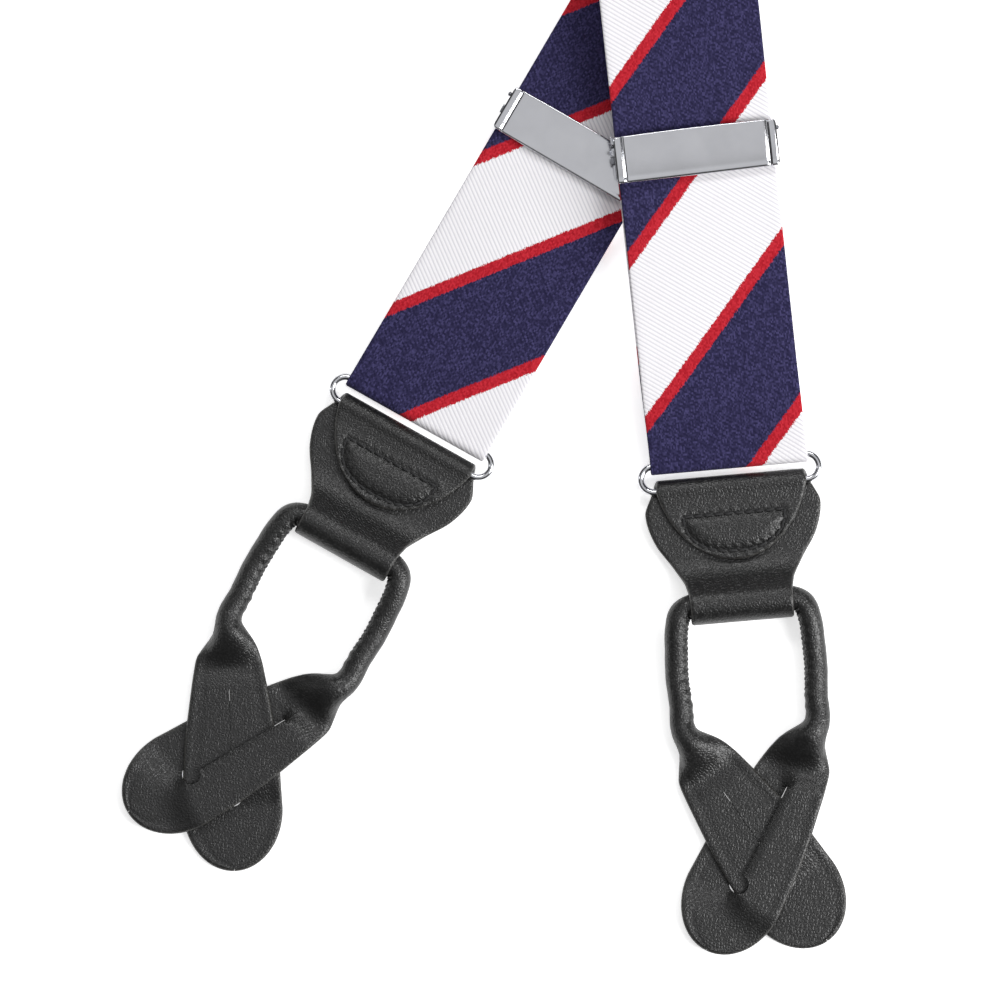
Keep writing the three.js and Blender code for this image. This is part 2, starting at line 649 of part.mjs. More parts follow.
// The end of the strap: from behind the ring up to the adjuster's bar, round it and back.
const tailFoldY = tailBarY + adjuster.barWidth / 2 + 0.4;
const tailHemLength = 14;
function tailGeometry(end) {
  const onStrap = (distance, offset, reversed) => {
    const { point, side, normal, half } = strapStation(end, distance);
    const face = reversed ? normal.clone().negate() : normal;
    return { point: point.clone().addScaledVector(normal, offset), side, half, normal: face };
  };
  const start = barY + 1.4 + clearance;
  const foldAt = adjuster.place + tailFoldY;
  const ringSideZ = -2 * strapFoldRadius;
  const lower = spread(start, foldAt, 14).map((distance) => (
    onStrap(distance, mix(ringSideZ, tailLowerZ, smooth(start, 30, distance)), false)
  ));
  const radius = (tailUpperZ - tailLowerZ) / 2;
  const base = strapStation(end, foldAt);
  const fold = spread(-90, 90, 8).slice(1).map((degrees) => {
    const angle = THREE.MathUtils.degToRad(degrees);
    const outward = base.along.clone().multiplyScalar(Math.cos(angle));
    outward.addScaledVector(base.normal, Math.sin(angle));
    const centre = base.point.clone().addScaledVector(base.normal, barZ);
    const point = centre.addScaledVector(outward, radius);
    return { point, side: base.side, half: base.half, normal: outward.negate() };
  });
  const hemPlaces = spread(foldAt - 2, foldAt - tailHemLength, 2);
  const upper = hemPlaces.map((distance) => onStrap(distance, tailUpperZ, true));
  return strip([...lower, ...fold, ...upper], strap.thickness);
}

// A rectangle of stitches that holds the folded end of a strap or elastic.
function hemThreadGeometry(halfWidth, y0, y1, z, radius) {
  const corners = [[-halfWidth, y0], [halfWidth, y0], [halfWidth, y1], [-halfWidth, y1]];
  return closedTube(polygonCurve(corners.map(([x, y]) => vector(x, y, z))), radius, 26, 4);
}

function adjusterFrame(name, end) {
  const station = strapStation(end, adjuster.place);
  const group = frameGroup(`${name}_adjuster_frame_group`, 0, 0, 0);
  const basis = new THREE.Matrix4().makeBasis(station.side, station.along, station.normal);
  basis.setPosition(station.point);
  basis.decompose(group.position, group.quaternion, group.scale);
  group.add(piece(`${name}_adjuster_frame`, adjusterFrameGeometry(), "plate"));
  group.add(piece(`${name}_adjuster_hinge_pin`, pinGeometry(), "wire"));
  group.add(piece(`${name}_adjuster_tail_bar`, tailBarGeometry(), "wire"));
  const radius = 0.15;
  const threadZ = tailLowerZ - halfStrap - 0.05 - radius;
  const [from, to] = [tailFoldY - tailHemLength + 2, tailFoldY - 5];
  const thread = hemThreadGeometry(strap.width / 2 - 2.5, from, to, threadZ, radius);
  group.add(piece(`${name}_tail_stitch_thread`, thread, "thread"));
  const pinFrame = frameGroup(`${name}_pin_frame`, 0, pinY, pinZ);
  pinFrame.add(piece(`${name}_adjuster_lever`, leverGeometry().translate(0, -pinY, -pinZ), "plate"));
  group.add(pinFrame);
  return group;
}

// ---------------------------------------------------------------- back end
const elasticFoldRadius = ring.wireRadius + clearance + elastic.thickness / 2;
const hemUpperZ = 3.8;
const hemLowerZ = hemUpperZ - elastic.thickness - clearance;

function hemGeometry() {
  const half = elastic.width / 2;
  const end = barY + elastic.hemLength;
  const lower = [[end, hemLowerZ], [end - 6, hemLowerZ], [11, hemLowerZ], [7, 1.5]];
  lower.push([barY + 1, ringZ - elasticFoldRadius]);
  const fold = arcPath(barY, ringZ, elasticFoldRadius, 270, 90, 8);
  const upper = [[barY + 1, ringZ + elasticFoldRadius], [7, 4.1]];
  upper.push([11, hemUpperZ], [end - 6, hemUpperZ], [end, hemUpperZ]);
  const path = [...lower, ...fold, ...upper].map(([y, z]) => [y, z, half]);
  return strip(foldStations(path), elastic.thickness);
}

// The elastic from the hem to between the two leathers of the patch.
function elasticGeometry() {
  const half = elastic.width / 2;
  const start = barY + elastic.hemLength + clearance;
  const patchEnd = layout.backRingY - layout.shoulderChord - patch.strapEndY - clearance;
  const insideZ = patch.thickness + clearance + elastic.thickness / 2;
  const height = (y) => mix(hemUpperZ, insideZ, smooth(start + 8, patchEnd - 26, y));
  const path = spread(start, patchEnd, 16).map((y) => [y, height(y), half]);
  return strip(foldStations(path), elastic.thickness);
}

function patchShape() {
  const { frontY, backY, frontHalfWidth, backHalfWidth } = patch;
  const shape = new THREE.Shape();
  const round = 6;
  shape.moveTo(0, frontY - 3);
  shape.quadraticCurveTo(frontHalfWidth * 0.6, frontY - 2.5, frontHalfWidth - round, frontY);
  shape.quadraticCurveTo(frontHalfWidth, frontY + 1, frontHalfWidth - 1, frontY + round + 1);
  shape.bezierCurveTo(frontHalfWidth - 6, frontY + 24, backHalfWidth, backY - 30, backHalfWidth, backY - 4);
  shape.quadraticCurveTo(backHalfWidth, backY, backHalfWidth - 4, backY);
  shape.lineTo(4 - backHalfWidth, backY);
  shape.quadraticCurveTo(-backHalfWidth, backY, -backHalfWidth, backY - 4);
  const cornerY = frontY + round + 1;
  const endX = 1 - frontHalfWidth;
  shape.bezierCurveTo(-backHalfWidth, backY - 30, 5 + endX, frontY + 24, endX, cornerY);
  shape.quadraticCurveTo(-frontHalfWidth, frontY + 1, round - frontHalfWidth, frontY);
  shape.quadraticCurveTo(-frontHalfWidth * 0.6, frontY - 2.5, 0, frontY - 3);
  return shape;
}

function patchGeometry(z) {
  const options = { depth: patch.thickness, bevelEnabled: false, curveSegments: 6 };
  return new THREE.ExtrudeGeometry(patchShape(), options).translate(0, layout.shoulderChord, z);
}

function patchThreadGeometry() {
  const scale = 0.9;
  const middle = (patch.frontY + patch.backY) / 2;
  const z = 2 * patch.thickness + 2 * clearance + elastic.thickness + threadGap + threadRadius;
  const points = patchShape().getPoints(6).slice(0, -1).map((point) => (
    vector(point.x * scale, layout.shoulderChord + middle + (point.y - middle) * scale, z)
  ));
  return closedTube(polygonCurve(points), threadRadius, 60, 4);
}

// ---------------------------------------------------------------- assembly
const degrees = THREE.MathUtils.degToRad;
const climb = Math.tan(degrees(7));
const patchRise = patchStrapZ - tableRunZ;
function frontEnd(name, side, reach, sways, roll, bends) {
  const heading = side < 0 ? headingAngle : -headingAngle;
  const total = reach + 2 * headingAngle * shoulderRadius;
  const toPatch = [
    { from: total - 90, to: total - 75, slope: patchRise / 25 },
    { from: total - 65, to: total - 50, slope: -patchRise / 25 },
  ];
  return {
    name,
    reach,
    heading,
    roll: degrees(roll),
    side,
    ringSway: degrees(sways[0]),
    loopSway: degrees(sways[1]),
    bends: [...bends, ...toPatch],
    x: -Math.sin(heading) * reach,
    y: -Math.cos(heading) * reach,
  };
}


// The left strap drops to the table beyond the crossing. The right one climbs over the
// left adjuster, passes over the left strap and comes down later.
const leftDrop = { from: 118, to: 150, ease: 10 };
const rightClimb = { from: barY, to: 112, ease: 10 };
const rightDrop = { from: 128, to: 188, ease: 40 };
function slopeBetween({ from, to, ease }, slope) {
  return [
    { from, to: from + ease, slope },
    { from: to, to: to + ease, slope: -slope },
  ];
}
const climbHeight = climb * (rightClimb.to - rightClimb.from);
const leftFall = (runZ - tableRunZ) / (leftDrop.to - leftDrop.from);
const rightFall = (runZ + climbHeight - tableRunZ) / (rightDrop.to - rightDrop.from);
const frontEnds = [
  frontEnd("left", -1, layout.leftReach, [1.0, 0.3], 0, slopeBetween(leftDrop, -leftFall)),
  frontEnd("right", 1, layout.rightReach, [-1.35, -0.7], 5, [
    ...slopeBetween(rightClimb, climb),
    ...slopeBetween(rightDrop, -rightFall),
  ]),
];

const braces = new THREE.Group();
frontEnds.forEach((end) => {
  const group = frameGroup(`${end.name}_end_frame`, end.x, end.y, 0, -end.heading);
  group.add(piece(`${end.name}_strap`, strapGeometry(end), "ribbon"));
  group.add(piece(`${end.name}_strap_tail`, tailGeometry(end), "ribbon"));
  group.add(adjusterFrame(end.name, end));
  group.add(buttonEnd(end.name, end.ringSway, end.loopSway));
  braces.add(group);
});

const backEnd = frameGroup("back_end_frame", 0, layout.backRingY, 0, Math.PI);
backEnd.add(piece("back_elastic", elasticGeometry(), "elastic"));
backEnd.add(piece("back_elastic_hem", hemGeometry(), "elastic"));
const hemThreadZ = hemUpperZ + elastic.thickness / 2 + threadGap + threadRadius;
const hemEnd = barY + elastic.hemLength;
const hemThreadHalf = elastic.width / 2 - 2.5;
const hemThread = hemThreadGeometry(hemThreadHalf, hemEnd - 7, hemEnd - 2, hemThreadZ, threadRadius);
backEnd.add(piece("back_hem_stitch_thread", hemThread, "thread"));
backEnd.add(buttonEnd("back", 0, 0));
braces.add(backEnd);

braces.add(piece("patch_back_leather", patchGeometry(0), "leather"));
const frontLeatherZ = patch.thickness + 2 * clearance + elastic.thickness;
braces.add(piece("patch_front_leather", patchGeometry(frontLeatherZ), "leather"));
braces.add(piece("patch_stitch_thread", patchThreadGeometry(), "thread"));

// The origin is at the middle of the braces' own box, on the table.
braces.updateMatrixWorld(true);
const bounds = new THREE.Box3().setFromObject(braces, true);
const middle = bounds.getCenter(vector(0, 0, 0));
braces.position.set(-middle.x, -middle.y, -bounds.min.z);

export default braces;
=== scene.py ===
"""Looks of a pair of button-on dress braces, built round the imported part.

Two striped ribbon straps run from the front ends to a leather patch, and one elastic
strap goes on from there. Each of the three ends has a wire ring, a folded leather tab
and a rolled leather loop with two flat ears. Every piece is a surface worked out with
numpy in the axes of its own end, in millimetres, and put into the mesh in metres.
"""

from __future__ import annotations

import json
import logging
import math
from dataclasses import dataclass, field, replace
from enum import Enum
from typing import Callable

import bmesh
import bpy
import numpy as np
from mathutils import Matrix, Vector


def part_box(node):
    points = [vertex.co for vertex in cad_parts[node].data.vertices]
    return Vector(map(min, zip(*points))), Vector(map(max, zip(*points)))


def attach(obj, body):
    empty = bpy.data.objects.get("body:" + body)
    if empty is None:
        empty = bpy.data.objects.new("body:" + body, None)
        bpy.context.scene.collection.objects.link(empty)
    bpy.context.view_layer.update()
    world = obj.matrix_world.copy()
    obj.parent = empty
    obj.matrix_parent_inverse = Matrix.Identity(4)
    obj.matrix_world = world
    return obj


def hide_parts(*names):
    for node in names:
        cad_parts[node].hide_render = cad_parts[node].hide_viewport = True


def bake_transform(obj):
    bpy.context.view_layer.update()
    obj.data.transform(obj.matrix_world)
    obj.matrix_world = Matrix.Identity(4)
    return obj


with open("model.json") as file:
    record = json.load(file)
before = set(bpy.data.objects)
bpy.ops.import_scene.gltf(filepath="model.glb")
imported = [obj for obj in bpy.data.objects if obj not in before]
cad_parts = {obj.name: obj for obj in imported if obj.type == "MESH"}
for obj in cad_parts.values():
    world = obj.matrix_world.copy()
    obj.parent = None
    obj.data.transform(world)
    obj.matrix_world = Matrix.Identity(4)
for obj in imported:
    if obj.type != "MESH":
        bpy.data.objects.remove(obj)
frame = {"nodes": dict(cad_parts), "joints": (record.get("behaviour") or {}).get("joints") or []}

Array = np.ndarray
Height = Callable[[Array, Array, Array], Array]
Material = bpy.types.Material
Piece = bpy.types.Object
Node = bpy.types.Node
Socket = bpy.types.NodeSocket
Tree = bpy.types.NodeTree
Colour = tuple[float, float, float]
MM = 0.001
UP = np.array([0.0, 0.0, 1.0])
CLEARANCE = 0.3
log = logging.getLogger("braces")


class Slot(Enum):
    """The record's material slots."""

    RIBBON = "striped_ribbon"
    ELASTIC = "black_elastic"
    LEATHER = "black_leather"
    THREAD = "sewing_thread"
    CORD = "core_cord"
    WIRE = "ring_wire"
    PLATE = "adjuster_plate"
    PINS = "adjuster_pins"


# ---------------- numbers and vectors
def smooth(start: float, end: float, x: Array | float) -> Array:
    """Rises from 0 at start to 1 at end along 3t^2 - 2t^3."""
    t = np.clip((np.asarray(x, float) - start) / (end - start), 0.0, 1.0)
    return t * t * (3 - 2 * t)


def mix(a: Array | float, b: Array | float, t: Array | float) -> Array:
    """Goes straight from a at t = 0 to b at t = 1."""
    return a + (b - a) * t


def bump(x: Array | float, centre: float, width: float) -> Array:
    """A bell of height 1 at centre: exp(-((x - centre) / width)^2)."""
    return np.exp(-(((np.asarray(x, float) - centre) / width) ** 2))


def ramp(x: Array, start: float, end: float) -> Array:
    """Height of a line that bends from level to a slope of 1 between start and end."""
    bending = (x - start) ** 2 / (2 * (end - start))
    return np.where(x <= start, 0.0, np.where(x >= end, x - (start + end) / 2, bending))


def unit(vectors: Array) -> Array:
    """The same directions with length 1."""
    return vectors / np.linalg.norm(vectors, axis=-1, keepdims=True)


def turned(vectors: Array, axes: Array, angle: Array | float) -> Array:
    """Vectors turned about axes by an angle: v cos a + (k x v) sin a + k (k . v)(1 - cos a)."""
    a = np.asarray(angle, float)[..., None]
    along = np.sum(axes * vectors, axis=-1, keepdims=True)
    return vectors * np.cos(a) + np.cross(axes, vectors) * np.sin(a) + axes * along * (1 - np.cos(a))


def through(knots: list[tuple[float, float]], x: Array) -> Array:
    """A smooth function through knots: between two, a cubic with the slope of their neighbours.

    Args:
        knots: Pairs of x and value in rising order of x.
        x: Where to read it; beyond the ends it keeps the end's value.

    Returns:
        The values at x.
    """
    places, values = np.array(knots, float).T
    before = np.r_[0, np.arange(len(places) - 1)]
    after = np.r_[np.arange(1, len(places)), len(places) - 1]
    slopes = (values[after] - values[before]) / (places[after] - places[before])
    inside = np.clip(np.asarray(x, float), places[0], places[-1])
    i = np.clip(np.searchsorted(places, inside, side="right") - 1, 0, len(places) - 2)
    step = places[i + 1] - places[i]
    t = (inside - places[i]) / step
    level = mix(values[i], values[i + 1], t * t * (3 - 2 * t))
    return level + step * t * (1 - t) * ((1 - t) * slopes[i] - t * slopes[i + 1])


def lengths(points: Array) -> Array:
    """Distance run along a line of points, from 0 at the first."""
    return np.r_[0.0, np.cumsum(np.linalg.norm(np.diff(points, axis=0), axis=1))]


def resampled(points: Array, pitch: float, closed: bool = False) -> tuple[Array, Array]:
    """Places at an even pitch along a line, for stitches.

    Args:
        points: The line's points.
        pitch: Wanted distance between places.
        closed: Whether the line runs back to its first point.

    Returns:
        The places and the line's direction at each.
    """
    line = np.vstack([points, points[:1]]) if closed else points
    run = lengths(line)
    count = max(int(round(run[-1] / pitch)), 2)
    places = (np.arange(count) + 0.5) * run[-1] / count
    at = np.stack([np.interp(places, run, line[:, k]) for k in range(3)], axis=1)
    ahead = np.stack([np.interp(places + 0.2, run, line[:, k]) for k in range(3)], axis=1)
    behind = np.stack([np.interp(places - 0.2, run, line[:, k]) for k in range(3)], axis=1)
    return at, unit(ahead - behind)


def arc(centre: tuple[float, float], radius: float, start: float, end: float, steps: int) -> Array:
    """Points [y, z] on an arc round a bar, with angles in degrees from +y."""
    angles = np.radians(np.linspace(start, end, steps + 1))
    return np.stack([centre[0] + radius * np.cos(angles), centre[1] + radius * np.sin(angles)], axis=1)


@dataclass(frozen=True)
class Axes:
    """An origin in millimetres and three directions, as rows u, v and w."""

    origin: Array
    rows: Array

    def place(self, points: Array) -> Array:
        """Points given as (x, y, z) along u, v and w, in the braces' own frame."""
        return self.origin + points @ self.rows

    def moved(self, x: float, y: float, z: float) -> Axes:
        """The same directions from another origin."""
        return Axes(self.place(np.array([x, y, z])), self.rows)

    def local(self, points: Array) -> Array:
        """The x, y and z of points of the braces' own frame."""
        return (points - self.origin) @ self.rows.T


# ---------------- meshes
def put_in(name: str, data: bpy.types.ID) -> Piece:
    """A new object with this data, linked into the scene."""
    obj = bpy.data.objects.new(name, data)
    bpy.context.scene.collection.objects.link(obj)
    return obj


class Shell:
    """Closed surfaces gathered into one mesh, with a lay map in metres and an edge mark."""

    def __init__(self, axes: Axes) -> None:
        """Starts an empty shell whose points are given in these axes."""
        self.axes = axes
        self.points: list[Array] = []
        self.lays: list[Array] = []
        self.edges: list[Array] = []
        self.faces: list[list[int]] = []
        self.count = 0

    def add(
        self, points: Array, faces: list[Array], lay: Array | None = None, edge: Array | None = None
    ) -> None:
        """Adds one closed surface and turns its faces outwards.

        The sign of its volume, the sum over triangles of p0 . (p1 x p2) / 6, says
        whether they look inwards.

        Args:
            points: Its points, in the shell's axes.
            faces: Arrays of faces, each of one number of corners.
            lay: Across and along distances in millimetres, for each point.
            edge: 1 on a cut edge and 0 on a face, for each point.
        """
        volume = 0.0
        for group in faces:
            corner = points[group]
            for k in range(1, group.shape[1] - 1):
                volume += np.einsum("ij,ij->", corner[:, 0], np.cross(corner[:, k], corner[:, k + 1]))
        for group in faces:
            ordered = group if volume > 0 else group[:, ::-1]
            self.faces.extend((ordered + self.count).tolist())
        self.points.append(points)
        self.lays.append(points[:, :2] if lay is None else lay)
        self.edges.append(np.zeros(len(points)) if edge is None else edge)
        self.count += len(points)

    def add_tube(
        self, grid: Array, lay: Array | None = None, edge: Array | None = None, ring: bool = False
    ) -> None:
        """Adds a grid whose columns close on themselves, with flat caps or closed to a ring.

        Args:
            grid: Points as rows by columns by 3.
            lay: Lay distances as rows by columns by 2.
            edge: Edge marks as rows by columns.
            ring: Whether the last row joins the first.
        """
        rows, columns = grid.shape[:2]
        index = np.arange(rows * columns).reshape(rows, columns)
        below = np.roll(index, -1, axis=0) if ring else index[1:]
        above = index if ring else index[:-1]
        quads = np.stack([above, np.roll(above, -1, axis=1), np.roll(below, -1, axis=1), below], axis=-1)
        faces = [quads.reshape(-1, 4)]
        if not ring:
            faces += [index[:1, ::-1], index[-1:]]
        self.add(
            grid.reshape(-1, 3),
            faces,
            None if lay is None else lay.reshape(-1, 2),
            None if edge is None else edge.reshape(-1),
        )

    def build(self, name: str, sharp: float = 50.0, weld: bool = False) -> Piece:
        """Makes the Blender object, at the origin, with its place in its mesh.

        Args:
            name: The object's name.
            sharp: Angle in degrees above which an edge between faces is sharp.
            weld: Whether points at the same place are joined.

        Returns:
            The object.
        """
        placed = self.axes.place(np.vstack(self.points)) * MM
        mesh = bpy.data.meshes.new(name)
        mesh.from_pydata(placed, [], self.faces)
        corners = np.zeros(len(mesh.loops), np.int64)
        mesh.loops.foreach_get("vertex_index", corners)
        lay = np.vstack(self.lays) * MM
        mesh.uv_layers.new(name="lay").uv.foreach_set("vector", lay[corners].astype(np.float32).ravel())
        marks = mesh.attributes.new("edge", "FLOAT", "POINT")
        marks.data.foreach_set("value", np.concatenate(self.edges).astype(np.float32))
        mesh.polygons.foreach_set("use_smooth", np.ones(len(mesh.polygons), bool))
        if weld:
            weld_points(mesh)
        mesh.set_sharp_from_angle(angle=math.radians(sharp))
        mesh.update()
        return put_in(name, mesh)


def weld_points(mesh: bpy.types.Mesh) -> None:
    """Joins the points of a mesh that lie at the same place."""
    work = bmesh.new()
    work.from_mesh(mesh)
    bmesh.ops.remove_doubles(work, verts=work.verts, dist=2e-6)
    work.to_mesh(mesh)
    work.free()


@dataclass(frozen=True)
class Section:
    """The rounded cross-section of a sheet, as arrays round it.

    share runs from -1 to 1 across the width, inset says how much of the edge's radius
    the point lies in from the outline, out is its height in millimetres and edge marks
    the cut edge.
    """

    share: Array
    inset: Array
    out: Array
    edge: Array
    radius: float

    @staticmethod
    def of(thickness: float, columns: int, roundness: float = 1.0, steps: int = 5) -> Section:
        """A sheet's section: two flat faces joined by two rounded edges.

        Args:
            thickness: The sheet's thickness.
            columns: Cells across each face.
            roundness: The edge's radius as a share of half the thickness.
            steps: Cells round each edge.

        Returns:
            The section, counter-clockwise from the upper left.
        """
        half = thickness / 2
        radius = half * roundness
        flat = np.linspace(-1, 1, columns + 1)
        angle = np.radians(np.linspace(90, -90, steps + 1))[1:-1]
        rim = np.sign(np.sin(angle)) * (half - radius) + radius * np.sin(angle)
        share = np.r_[flat, np.ones(len(angle)), flat[::-1], -np.ones(len(angle))]
        inset = np.r_[np.ones(columns + 1), 1 - np.cos(angle), np.ones(columns + 1), 1 - np.cos(angle)]
        out = np.r_[np.full(columns + 1, half), rim, np.full(columns + 1, -half), rim[::-1]]
        edge = np.r_[np.zeros(columns + 1), np.ones(len(angle)), np.zeros(columns + 1), np.ones(len(angle))]
        return Section(share, inset, out, edge, radius)


@dataclass
class Stations:
    """Places along a strip's middle line: the point, the direction across, the normal of
    the upper face, the strip's two edges as distances across, and the distance run."""

    point: Array
    side: Array
    normal: Array
    low: Array
    high: Array
    run: Array

    @staticmethod
    def folded(path: Array, half: Array, start: float = 0.0, direction: float = 1.0) -> Stations:
        """A path of [y, z] in an end's upright plane, with its direction across along +x.

        Args:
            path: Points as [y, z].
            half: Half the width at each point.
            start: The distance run at the first point.
            direction: 1 where the run grows along the path and -1 where it falls.

        Returns:
            The stations.
        """
        point = np.column_stack([np.zeros(len(path)), path])
        along = unit(np.gradient(point, axis=0))
        side = np.tile([1.0, 0.0, 0.0], (len(path), 1))
        return Stations(point, side, np.cross(side, along), -half, half, start + direction * lengths(point))

    def swept(self, section: Section, relief: Height | None = None) -> tuple[Array, Array, Array]:
        """Carries a section along the stations.

        The outline's own direction sets the edge's rounding in: a point goes in from the
        outline by the edge's radius times its inset, along the outline's normal.

        Args:
            section: The sheet's section.
            relief: Height to add, from the distance across, the run and the height.

        Returns:
            The grid of points, the lay map and the edge marks.
        """
        along = unit(np.gradient(self.point, axis=0))
        half = (self.high - self.low) / 2
        lean, steep = unit(np.stack([np.gradient(half), np.gradient(lengths(self.point))], axis=-1)).T
        inset = section.radius * section.inset[None]
        across = (self.high + self.low)[:, None] / 2
        across = across + section.share[None] * (half[:, None] - inset * steep[:, None])
        forward = inset * lean[:, None]
        out = np.broadcast_to(section.out[None], across.shape)
        run = self.run[:, None] + forward
        if relief is not None:
            out = out + relief(across, run, out)
        grid = self.point[:, None] + self.side[:, None] * across[..., None]
        grid = grid + self.normal[:, None] * out[..., None] + along[:, None] * forward[..., None]
        edge = np.broadcast_to(section.edge[None], across.shape)
        return grid, np.stack([across, run], axis=-1), edge


def tube_grid(line: Array, radius: Array | float, sides: int, closed: bool = False) -> Array:
    """A round tube along a line: line + r (n cos a + b sin a), n level and b = t x n.

    Args:
        line: The middle line's points.
        radius: The radius, or one for each point.
        sides: Columns round the tube.
        closed: Whether the line runs back to its first point.

    Returns:
        The grid of points.
    """
    if closed:
        along = unit(np.roll(line, -1, axis=0) - np.roll(line, 1, axis=0))
    else:
        along = unit(np.gradient(line, axis=0))
    level = unit(np.cross(along, UP))
    other = np.cross(along, level)
    angle = np.linspace(0, 2 * np.pi, sides, endpoint=False)
    size = np.broadcast_to(np.asarray(radius, float), len(line))[:, None, None]
    ring = level[:, None] * np.cos(angle)[None, :, None] + other[:, None] * np.sin(angle)[None, :, None]
    return line[:, None] + size * ring


def add_stitches(
    shell: Shell, places: Array, along: Array, normal: Array, length: float, radius: float
) -> None:
    """Adds short arched stitches: a thread that rises by its own radius and dips at its ends.

    Args:
        shell: The shell they go into.
        places: The middle of each stitch, on the surface.
        along: Each stitch's direction.
        normal: The surface's normal at each, or one for all.
        length: A stitch's length.
        radius: The thread's radius.
    """
    t = np.array([-1.0, -0.8, -0.3, 0.3, 0.8, 1.0])
    rise = radius * (0.75 - 1.5 * np.abs(t) ** 3)
    girth = radius * np.array([0.55, 0.95, 1.0, 1.0, 0.95, 0.55])
    angle = np.linspace(0, 2 * np.pi, 7)[:-1]
    for place, ahead, up in zip(places, along, np.broadcast_to(normal, along.shape)):
        across = np.cross(ahead, up)
        ring = across * np.cos(angle)[:, None] + up * np.sin(angle)[:, None]
        line = place + ahead * (t * length / 2)[:, None] + up * rise[:, None]
        shell.add_tube(line[:, None] + ring[None] * girth[:, None, None])


def add_plate(
    shell: Shell, outline: Array, bottom: Height, top: Height, radius: float, rings: int = 9
) -> None:
    """Adds a plate of leather whose outline is seen from above, with rounded cut edges.

    The point at share k of the way out is centre + k (outline - centre), so the outline
    is star-shaped about its centre.

    Args:
        shell: The shell it goes into.
        outline: Points [x, y] round the plate.
        bottom: Height of the lower face at x and y, with the share.
        top: Height of the upper face at x and y, with the share.
        radius: The edge's radius.
        rings: Rings of cells on each face.
    """
    centre = outline.mean(axis=0)
    reach = np.linalg.norm(outline - centre, axis=1).mean()
    inner = 1 - radius / reach
    shares = np.r_[np.linspace(0.02, 0.8, rings), np.linspace(0.84, inner, rings - 2)]
    angle = np.radians(np.linspace(90, -90, 8))[1:-1]
    rim = inner + (1 - inner) * np.cos(angle)
    share = np.r_[shares, rim, shares[::-1]]
    flat = centre + share[:, None, None] * (outline - centre)[None]
    ratio = np.broadcast_to(share[:, None], flat.shape[:2])
    high = top(flat[..., 0], flat[..., 1], ratio)
    low = bottom(flat[..., 0], flat[..., 1], ratio)
    lift = np.r_[np.ones(len(shares)), 0.5 + 0.5 * np.sin(angle), np.zeros(len(shares))]
    height = low + (high - low) * lift[:, None]
    grid = np.concatenate([flat, height[..., None]], axis=-1)
    edge = np.r_[np.zeros(len(shares)), np.ones(len(angle)), np.zeros(len(shares))]
    shell.add_tube(grid, flat, np.broadcast_to(edge[:, None], ratio.shape))


# ---------------- node graphs
class Graph:
    """A node tree with short ways to add and link its nodes."""

    def __init__(self, tree: Tree) -> None:
        """Wraps a tree."""
        self.tree = tree

    def node(self, kind: str, inputs: dict | None = None, **settings: object) -> Node:
        """Adds a node, sets its properties, and sets or links its inputs."""
        made = self.tree.nodes.new(kind)
        for name, value in settings.items():
            setattr(made, name, value)
        for name, value in (inputs or {}).items():
            if isinstance(value, Socket):
                self.tree.links.new(value, made.inputs[name])
            else:
                made.inputs[name].default_value = value
        return made

    def math(self, kind: str, *values: Socket | float) -> Socket:
        """The result of a math node on these values."""
        return self.node("ShaderNodeMath", dict(enumerate(values)), operation=kind).outputs[0]

    def step(
        self, value: Socket | float, start: float, end: float, low: float = 0.0, high: float = 1.0
    ) -> Socket:
        """A value carried smoothly from low at start to high at end."""
        inputs = {"Value": value, "From Min": start, "From Max": end, "To Min": low, "To Max": high}
        return self.node("ShaderNodeMapRange", inputs, interpolation_type="SMOOTHSTEP").outputs[0]

    def weighted(self, *parts: tuple[Socket, Socket | float]) -> Socket:
        """The sum of values, each times its weight."""
        total = self.math("MULTIPLY", *parts[0])
        for value, weight in parts[1:]:
            total = self.math("ADD", total, self.math("MULTIPLY", value, weight))
        return total

    def blend(self, factor: Socket | float, a: Socket | tuple, b: Socket | tuple) -> Socket:
        """A colour between a and b."""
        made = self.node("ShaderNodeMix", data_type="RGBA")
        for place, value in ((0, factor), (6, a), (7, b)):
            if isinstance(value, Socket):
                self.tree.links.new(value, made.inputs[place])
            else:
                made.inputs[place].default_value = value
        return made.outputs[2]

    def noise(self, vector: Socket, scale: float, detail: float = 2.0, roughness: float = 0.5) -> Socket:
        """The value of a noise texture."""
        inputs = {"Vector": vector, "Scale": scale, "Detail": detail, "Roughness": roughness}
        return self.node("ShaderNodeTexNoise", inputs).outputs[0]

    def link(self, a: Socket, b: Socket) -> None:
        """Links an output to an input."""
        self.tree.links.new(a, b)


def shade(red: float, green: float, blue: float) -> tuple[float, float, float, float]:
    """A display colour from 0 to 255 as linear light with full alpha."""
    levels = np.array([red, green, blue]) / 255
    linear = np.where(levels <= 0.04045, levels / 12.92, ((levels + 0.055) / 1.055) ** 2.4)
    return (float(linear[0]), float(linear[1]), float(linear[2]), 1.0)


def new_group(
    name: str, inputs: dict[str, tuple[str, float]], outputs: list[str]
) -> tuple[Tree, Graph, Node]:
    """Starts a shader node group.

    Args:
        name: Its name.
        inputs: Socket type and default for each input.
        outputs: Names of the value outputs.

    Returns:
        The group, its graph and its input node.
    """
    group = bpy.data.node_groups.new(name, "ShaderNodeTree")
    for label, (kind, default) in inputs.items():
        made = group.interface.new_socket(label, in_out="INPUT", socket_type=kind)
        if kind == "NodeSocketFloat":
            made.default_value = default
    for label in outputs:
        group.interface.new_socket(label, in_out="OUTPUT", socket_type="NodeSocketFloat")
    return group, Graph(group), group.nodes.new("NodeGroupInput")


